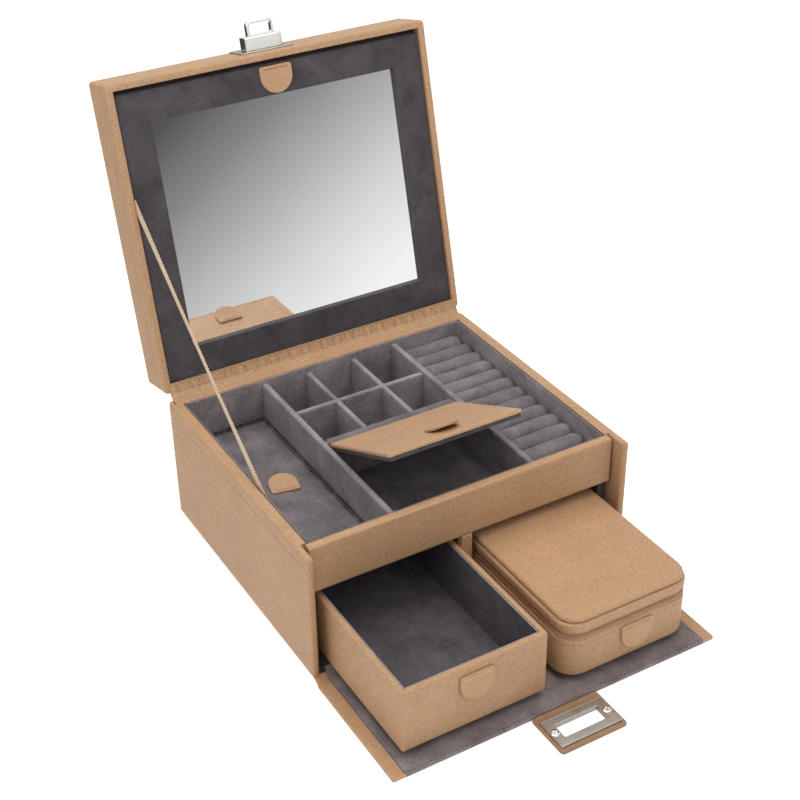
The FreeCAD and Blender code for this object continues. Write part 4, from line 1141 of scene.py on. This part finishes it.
def pierced(name, lo, hi, radius, holeLo, holeHi, holeRadius, profile, material):
    # a plate with a rectangular opening: each profile entry is (share, inset, height), share 0 on
    # the outer rectangle and 1 on the opening
    rings = []
    for share, inset, height in profile:
        a = lo[:2] + (holeLo[:2] - lo[:2]) * share
        b = hi[:2] + (holeHi[:2] - hi[:2]) * share
        loop = roundedLoop(*((b - a) / 2), radius if share < 0.5 else holeRadius, inset, 6, 8)[0]
        rings.append(np.concatenate([loop + (a + b) / 2, np.full((len(loop), 1), height)], 1))
    points = np.stack(rings)
    return toObject(name, points, gridFaces(*points.shape[:2], True, True), material)


strikeLook = {"slot": (34.5, 12.3), "wall": 1.0, "corner": 0.6, "line": 1.3, "tongueCorner": 3.0,
              "border": 3.5, "screwRadius": 3.1, "screwRise": 0.5, "recess": 0.45, "recessReach": 1.9,
              "turns": (18, 74), "screwSides": 72}


def makeScrew(name, x, y, face, degrees):
    # domed head with a cross recess, as one disc of rings
    look = strikeLook
    radius, rise, sides = look["screwRadius"], look["screwRise"], look["screwSides"]
    phi = np.linspace(0, 2 * math.pi, sides, endpoint=False)
    turn = math.radians(degrees)
    rings = []
    dome = [(radius, -0.1), (radius, 0.12), (radius * 0.9, rise * 0.7)]
    dome += [(radius * share, rise * (1.12 - 0.25 * share * share))
             for share in (0.75, 0.64, 0.56, 0.48, 0.4, 0.32, 0.24, 0.16, 0.04)]
    for r, z in dome:
        dx, dy = r * np.cos(phi), r * np.sin(phi)
        arm = np.minimum(np.abs(dx * math.cos(turn) + dy * math.sin(turn)),
                         np.abs(dy * math.cos(turn) - dx * math.sin(turn)))
        cut = np.clip((0.5 - arm) / 0.12, 0, 1) * np.clip((look["recessReach"] - r) / 0.2, 0, 1)
        rings.append(np.stack([x + dx, y + dy, face + z - look["recess"] * cut], 1))
    caps = [range(sides), range((len(rings) - 1) * sides, len(rings) * sides)]
    faces = gridFaces(len(rings), sides, False, True)
    return toObject(name, np.stack(rings), faces, brightNickel, caps, smooth=30)


def makeTongue():
    look = strikeLook
    lo, hi = nodeBox("tongue")
    plateLo, plateHi = nodeBox("strike_plate")
    centre = (plateLo[:2] + plateHi[:2]) / 2
    holeLo, holeHi = centre - np.array(look["slot"]) / 2, centre + np.array(look["slot"]) / 2
    low, top, wall, border = lo[2], hi[2], look["wall"], look["border"]
    # leather in a darker copy of the tan, painted shade for the tongue lying under the flap's edge; rounded
    # over at the edge with a shallow sewn groove inside it
    edge = filletPath([(1.2, low, 0), (0, low, 1.0), (0, top, 1.4), (3.2, top, 0)], 5)
    profile = [(0, inset, height) for inset, height in edge]
    profile += [(0, border, top - 0.25), (0, border + 0.4, top - 0.28), (0, border + 0.8, top - 0.05)]
    profile += [(1, -wall - 0.4, top), (1, -wall, top - 0.3), (1, -wall, low + 0.1), (1, -wall - 0.4, low)]
    piece = pierced("tongue", lo, hi, look["tongueCorner"], holeLo, holeHi, 1.2, profile, shadedTongueLeather)
    place(piece, "flap", "case_leather", "tongue")
    # flat plate with a fine bevel, a scored line inside it, and the wall that lines the slot
    face, line = plateHi[2], look["line"]
    profile = [(0, 1.4, top + 0.02), (0, 0.25, top + 0.02), (0, 0, top + 0.25), (0, 0, face - 0.4),
               (0, 0.4, face), (0, line - 0.3, face), (0, line - 0.12, face - 0.2),
               (0, line + 0.12, face - 0.2), (0, line + 0.3, face), (0, line + 0.8, face),
               (1, -1.6, face), (1, -0.9, face), (1, -0.3, face), (1, 0, face - 0.3), (1, 0, low + 0.15),
               (1, -0.5, low), (1, -0.9, low), (1, -0.9, top - 0.05)]
    plate = pierced("strikePlate", plateLo, plateHi, look["corner"], holeLo, holeHi, 0.8, profile,
                    satinNickel)
    place(plate, "flap", "satin_nickel", "strike_plate")
    screwLo, screwHi = nodeBox("strike_screws")
    radius = look["screwRadius"]
    turns = look["turns"]
    for name, x, degrees, replaced in (("strikeScrew1", screwLo[0] + radius, turns[0], ["strike_screws"]),
                                       ("strikeScrew2", screwHi[0] - radius, turns[1], [])):
        screw = makeScrew(name, x, centre[1], face, degrees)
        place(screw, "flap", "bright_nickel", *replaced)


makeTongue()
print("flap made")


# Drawer

drawerLook = {"wall": 4.2, "bottom": 3.0, "lining": 0.8, "corner": 1.3, "edge": 1.2, "floorRise": 0.25,
              "liningCorner": 1.0, "shadow": (-0.35, 0.1), "shadowRise": 0.3, "highlightRise": 0.15}


def makeDrawer():
    look = drawerLook
    lo, hi = nodeBox("drawer_box")
    wall, floor = look["wall"], lo[2] + look["bottom"]
    profile = filletPath([(6, lo[2], 0), (0, lo[2], 1.0), (0, lo[2] + 3, 0), (0, hi[2] - 3, 0),
                          (0, hi[2], look["edge"]), (wall, hi[2], 0.9), (wall, floor, 0.2), (8, floor, 0)], 5)
    box = loopPiece("drawerBox", lo, hi, look["corner"], profile, leather, sideSteps=16)
    place(box, "drawer", "case_leather", "drawer_box")
    lo, hi = nodeBox("drawer_liner")
    thick = look["lining"]
    floor = lo[2] + thick
    profile = filletPath([(3, lo[2], 0), (0, lo[2], 0.3), (0, hi[2], 0.35), (thick, hi[2], 0.35),
                          (thick, floor, 0.6), (9, floor, 0)], 5)
    corner = look["liningCorner"]
    liner = loopPiece("drawerLiner", lo, hi, corner, profile, shadedSuede, sideSteps=16)
    place(liner, "drawer", "suede_lining", "drawer_liner")
    edgeStrip("drawerShadowLine", lo, hi, corner, *look["shadow"], hi[2] + look["shadowRise"],
              paintedShadow, "drawer")
    # a painted highlight: a pale thin hoop along the liner's top edge, standing in for its sheen
    edgeStrip("drawerLinerHighlight", lo, hi, corner, 0.15, thick + 0.05, hi[2] + look["highlightRise"],
              highlightSuede, "drawer")
    # the floor is a lighter copy of the walls' suede: painted light on the floor, painted shade on the walls
    floorLo = np.array([lo[0] + thick + 0.2, lo[1] + thick + 0.2, floor - 0.2])
    floorHi = np.array([hi[0] - thick - 0.2, hi[1] - thick - 0.2, floor + look["floorRise"]])
    place(roundedBlock("drawerFloor", floorLo, floorHi, 0.2, litFloorSuede, corner), "drawer", "suede_lining")


makeDrawer()
print("drawer made")


# Travel case

travelLook = {"corner": 16.0, "wall": 2.6, "tapeInset": 0.9, "shoulder": 3.4, "groove": 7.8,
              "grooveDeep": 2.6, "crown": 1.4, "stitchDrop": 3.6, "stitchPitch": 3.6, "coilPitch": 1.15,
              "coilInset": -0.15, "coilShift": 0.66, "coil": (1.7, 0.62, 0.62), "stitch": (1.9, 0.7, 0.22),
              "topStitchPitch": 2.7, "topStitch": (1.4, 0.5, 0.25), "sliderEdge": 0.5, "sliderCorner": 1.6,
              "pullEdge": 0.4, "pullCorner": 2.4}


def outlinePoints(lo, hi, radius, inset, spacing):
    # evenly spaced places round a rounded rectangle, with direction and outward normal
    loop = roundedLoop(*((hi[:2] - lo[:2]) / 2), radius, inset, 24, 60)[0] + (lo[:2] + hi[:2]) / 2
    closed = np.concatenate([loop, loop[:1]])
    run = np.concatenate([[0], np.cumsum(np.linalg.norm(np.diff(closed, axis=0), axis=1))])
    count = int(round(run[-1] / spacing))
    s = np.arange(count) * run[-1] / count
    spots = np.stack([np.interp(s, run, closed[:, 0]), np.interp(s, run, closed[:, 1])], 1)
    along = np.roll(spots, -1, 0) - np.roll(spots, 1, 0)
    along /= np.linalg.norm(along, axis=1)[:, None]
    out = np.stack([along[:, 1], -along[:, 0]], 1)
    flat = np.zeros((count, 1))
    return np.concatenate([spots, flat], 1), np.concatenate([along, flat], 1), np.concatenate([out, flat], 1)


def makeTravelCase():
    look = travelLook
    lo, hi = nodeBox("travel_base")
    corner, wall, split = look["corner"], look["wall"], hi[2]
    profile = filletPath([(8, lo[2], 0), (0, lo[2], 2.0), (0, split, 1.8), (wall, split, 1.0),
                          (wall, split - 3, 0)], 5)
    base = loopPiece("travelBase", lo, hi, corner, profile, leather, cornerSteps=16, sideSteps=16)
    place(base, "travel_case", "case_leather", "travel_base")
    # lid: a rolled border above the zip, a deep seam, then the padded top with its round shoulder
    lidLo, lidHi = nodeBox("travel_lid")
    bottom, top = lidLo[2], lidHi[2]
    grooveZ, deep, crown = bottom + look["groove"], look["grooveDeep"], top - look["crown"]
    shoulder = look["shoulder"]
    side = filletPath([(wall, bottom + 3, 0), (wall, bottom, 1.0), (0, bottom, 1.5), (0, grooveZ - 0.7, 2.2),
                       (deep, grooveZ - 0.35, 0.2), (deep, grooveZ + 0.35, 0.2), (1.5, grooveZ + 0.9, 0.6),
                       (1.7, crown, shoulder - 0.6), (shoulder + 5, crown + 0.3, 0)], 7)
    rise = [(shoulder + 9, crown + 0.6), (shoulder + 14, crown + 0.9), (26, crown + 1.15), (40, top),
            (52, top)]
    lid = loopPiece("travelLid", lidLo, lidHi, corner, np.concatenate([side, rise]), leather,
                    cornerSteps=16, sideSteps=16)
    place(lid, "travel_case", "case_leather", "travel_lid")
    # zip tape: a woven band, its middle hollowed where the coil sits
    tapeLo, tapeHi = nodeBox("zip_tape")
    middle = (tapeLo[2] + tapeHi[2]) / 2
    tapeCorner = corner - look["tapeInset"]
    section = np.array([(2.0, split - 1.0), (0.35, split - 0.6), (0.2, split + 0.3), (0.25, middle - 1.7),
                        (0.9, middle - 1.45), (0.9, middle + 1.45), (0.25, middle + 1.7), (0.2, bottom - 0.3),
                        (0.35, bottom + 0.6), (2.0, bottom + 1.0)])
    rows = roundedLoop(*((tapeHi[:2] - tapeLo[:2]) / 2), tapeCorner, section[:, 0], 16, 60)
    heights = np.broadcast_to(section[:, 1][:, None], rows.shape[:2])
    points = np.concatenate([rows + (tapeLo[:2] + tapeHi[:2]) / 2, heights[..., None]], 2)
    steps = np.linalg.norm(np.diff(np.concatenate([rows[4], rows[4][:1]]), axis=0), axis=1)
    run = np.concatenate([[0], np.cumsum(steps)])[:-1]
    uv = np.stack([np.broadcast_to(run[None], rows.shape[:2]), heights], -1)
    tape = toObject("zipTape", points, gridFaces(*rows.shape[:2], False, True), zipWeave, uv=uv)
    place(tape, "travel_case", "zip_tape", "zip_tape")
    # nylon coil: two rows of small wound loops, offset by half a pitch
    where, along, out = outlinePoints(tapeLo, tapeHi, tapeCorner, look["coilInset"], look["coilPitch"])
    up = np.tile([0, 0, 1.0], (len(where), 1))
    for name, shift, dz, replaced in (("zipCoilUpper", 0, look["coilShift"], ["zip_teeth"]),
                                      ("zipCoilLower", 1, -look["coilShift"], [])):
        centres = where + along * (look["coilPitch"] / 2 * shift)
        centres[:, 2] = middle + dz
        coil = stitchRow(name, centres, up, out, coilNylon, *look["coil"])
        place(coil, "travel_case", "zip_teeth", *replaced)
    for name, low, high, inset, z, pitch, size in (
            ("travelStitches", lo, hi, 0.02, split - look["stitchDrop"], look["stitchPitch"],
             look["stitch"]),
            ("travelTopStitches", lidLo, lidHi, deep - 0.05, grooveZ, look["topStitchPitch"],
             look["topStitch"])):
        where, along, out = outlinePoints(low, high, corner, inset, pitch)
        where[:, 2] = z
        place(stitchRow(name, where, along, out, stitchThread, *size), "travel_case", "case_leather")
    sliderLo, sliderHi = nodeBox("zip_slider")
    slider = roundedBlock("zipSlider", sliderLo, sliderHi, look["sliderEdge"], brightNickel,
                          look["sliderCorner"], axis=1)
    place(slider, "zip_slider", "bright_nickel", "zip_slider")
    pullLo, pullHi = nodeBox("zip_pull")
    pull = roundedBlock("zipPull", pullLo, pullHi, look["pullEdge"], brightNickel, look["pullCorner"], axis=1)
    place(pull, "zip_slider", "bright_nickel", "zip_pull")


makeTravelCase()
print("travel case made")


# Pieces that stay as the CAD nodes: flat linings, hidden boards, the glass

plainNodes = {
    (shadedSuede, "suede_lining"): ("base_pad", "travel_liner"),
    (insertSuede, "suede_lining"): ("tray_floor_lining",),
    (litTraySuede, "suede_lining"): ("cover_ledge",),
    (shadedLidSuede, "suede_lining"): ("door_ledge", "lid_lining", "door_hinge_tape"),
    (board, "wrapped_board"): ("base_board", "bay_walls", "bay_partition", "tray_floor", "insert_board",
                               "mirror_backing"),
    (mirrorSilver, "mirror"): ("mirror_glass",),
    (satinNickel, "satin_nickel"): ("catch_rivets",)}

for (material, slot), nodes in plainNodes.items():
    for node in nodes:
        shown = frame["nodes"][node]
        shown.data.materials.clear()
        shown.data.materials.append(material)


# Camera

# where the photograph was taken from: degrees, millimetres of lens and metres of place
view = {"azimuth": 30.13, "elevation": 32.64, "roll": -0.81, "lens": 68.58, "sensor": 36,
        "place": (-0.4625, -0.8073, 0.7190)}


def makeCamera():
    azimuth, elevation, roll = (math.radians(view[key]) for key in ("azimuth", "elevation", "roll"))
    flat = math.cos(elevation)
    look = np.array([math.sin(azimuth) * flat, math.cos(azimuth) * flat, -math.sin(elevation)])
    right = np.cross(look, [0, 0, 1])
    right /= np.linalg.norm(right)
    up = np.cross(right, look)
    imageX = right * math.cos(roll) + up * math.sin(roll)
    imageY = up * math.cos(roll) - right * math.sin(roll)
    lens = bpy.data.cameras.new("camera")
    lens.lens = view["lens"]
    lens.sensor_width = view["sensor"]
    lens.clip_start = 0.01
    camera = bpy.data.objects.new("camera", lens)
    bpy.context.scene.collection.objects.link(camera)
    matrix = np.eye(4)
    matrix[:3, 0], matrix[:3, 1], matrix[:3, 2] = imageX, imageY, -look
    matrix[:3, 3] = view["place"]
    camera.matrix_world = Matrix(matrix.tolist())
    bpy.context.scene.camera = camera


makeCamera()


# Lights and white surroundings

def makeLight(name, position, target, size, power, colour):
    lamp = bpy.data.lights.new(name, "AREA")
    lamp.shape = "RECTANGLE"
    lamp.size, lamp.size_y = size
    lamp.energy = power
    lamp.color = colour
    item = bpy.data.objects.new(name, lamp)
    bpy.context.scene.collection.objects.link(item)
    away = np.array(position, float) - np.array(target, float)
    away /= np.linalg.norm(away)
    side = np.cross([0.01, 1, 0.02], away)
    side /= np.linalg.norm(side)
    matrix = np.eye(4)
    matrix[:3, 0], matrix[:3, 1], matrix[:3, 2] = side, np.cross(away, side), away
    matrix[:3, 3] = position
    item.matrix_world = Matrix(matrix.tolist())
    item.visible_camera = False


def makeLamps():
    makeLight("overhead", (-0.1, 0.05, 1.6), (0, 0, 0.05), (1.5, 1.5), 15.5, (1.0, 0.99, 0.99))
    makeLight("leftFill", (-1.6, -0.3, 0.8), (0, 0, 0.1), (1.2, 1.2), 4.6, (0.94, 0.97, 1.0))
    makeLight("frontHigh", (0.15, -1.15, 1.2), (0, 0, 0.1), (1.1, 0.9), 4.8, (1.0, 1.0, 1.0))


def makeStudio():
    world = bpy.data.worlds.new("studio")
    bpy.context.scene.world = world
    world.use_nodes = True
    tree = world.node_tree
    tree.nodes.clear()
    # The camera sees plain white. Diffuse light comes mostly from above. Reflections see a studio
    # that is dark at the horizon in front and to the left. It turns white to the right and towards
    # the table, as 0.54 x - 0.84 z of the direction rises, and is white from just above the horizon.
    direction = addNode(tree, "ShaderNodeTexCoord")
    split = addNode(tree, "ShaderNodeSeparateXYZ", Vector=(direction, "Generated"))
    ambient = ramp(tree, (split, "Z"), [(0.0, 0.27), (0.3, 0.27), (1.0, 0.60)])
    warm = addNode(tree, "ShaderNodeMix", {"data_type": "RGBA", "blend_type": "MULTIPLY"}, Factor=1.0)
    tree.links.new(ambient.outputs[0], warm.inputs[6])
    warm.inputs[7].default_value = (1.0, 0.95, 0.80, 1)
    along = addNode(tree, "ShaderNodeVectorMath", {"operation": "DOT_PRODUCT"},
                    i0=(direction, "Generated"), i1=(0.536, 0.0, -0.844))
    studio = ramp(tree, (along, "Value"), [(0.10, 0.062), (0.13, 0.1), (0.17, 0.25), (0.21, 0.46),
                                           (0.25, 0.7), (0.29, 0.9), (0.34, 1.0)])
    above = ramp(tree, (split, "Z"), [(0.068, 0.0), (0.088, 1.0)])
    seen = addNode(tree, "ShaderNodeMix", {"data_type": "RGBA", "blend_type": "LIGHTEN"}, Factor=1.0)
    tree.links.new(studio.outputs[0], seen.inputs[6])
    tree.links.new(above.outputs[0], seen.inputs[7])
    rays = addNode(tree, "ShaderNodeLightPath")
    pick = addNode(tree, "ShaderNodeMix", {"data_type": "RGBA"}, Factor=(rays, "Is Glossy Ray"))
    tree.links.new(warm.outputs[2], pick.inputs[6])
    tree.links.new(seen.outputs[2], pick.inputs[7])
    backdrop = addNode(tree, "ShaderNodeMix", {"data_type": "RGBA"}, Factor=(rays, "Is Camera Ray"))
    tree.links.new(pick.outputs[2], backdrop.inputs[6])
    backdrop.inputs[7].default_value = (1, 1, 1, 1)
    sky = addNode(tree, "ShaderNodeBackground", Color=(backdrop, 2), Strength=1.0)
    addNode(tree, "ShaderNodeOutputWorld", Surface=(sky, 0))


floorLook = {"reach": 3, "drop": 0.0004, "grey": 0.6, "glow": 0.75}


def makeFloor():
    # a floor that is white itself and keeps only a soft contact shadow
    reach, z, grey = floorLook["reach"], -floorLook["drop"], floorLook["grey"]
    mesh = bpy.data.meshes.new("floor")
    corners = [(-reach, -reach, z), (reach, -reach, z), (reach, reach, z), (-reach, reach, z)]
    mesh.from_pydata(corners, [], [(0, 1, 2, 3)])
    floor = bpy.data.objects.new("floor", mesh)
    bpy.context.scene.collection.objects.link(floor)
    material, _, shader = newMaterial("white paper")
    shader.inputs["Base Color"].default_value = (grey, grey, grey, 1)
    shader.inputs["Roughness"].default_value = 1.0
    shader.inputs["Specular IOR Level"].default_value = 0.0
    shader.inputs["Emission Color"].default_value = (1, 1, 1, 1)
    shader.inputs["Emission Strength"].default_value = floorLook["glow"]
    mesh.materials.append(material)
    floor.visible_glossy = False


makeLamps()
makeStudio()
makeFloor()

scene = bpy.context.scene
scene.render.engine = "CYCLES"
scene.cycles.max_bounces = 8
scene.cycles.diffuse_bounces = 3
scene.cycles.glossy_bounces = 5
scene.view_settings.view_transform = "Standard"
scene.view_settings.look = "None"
print("stage set")
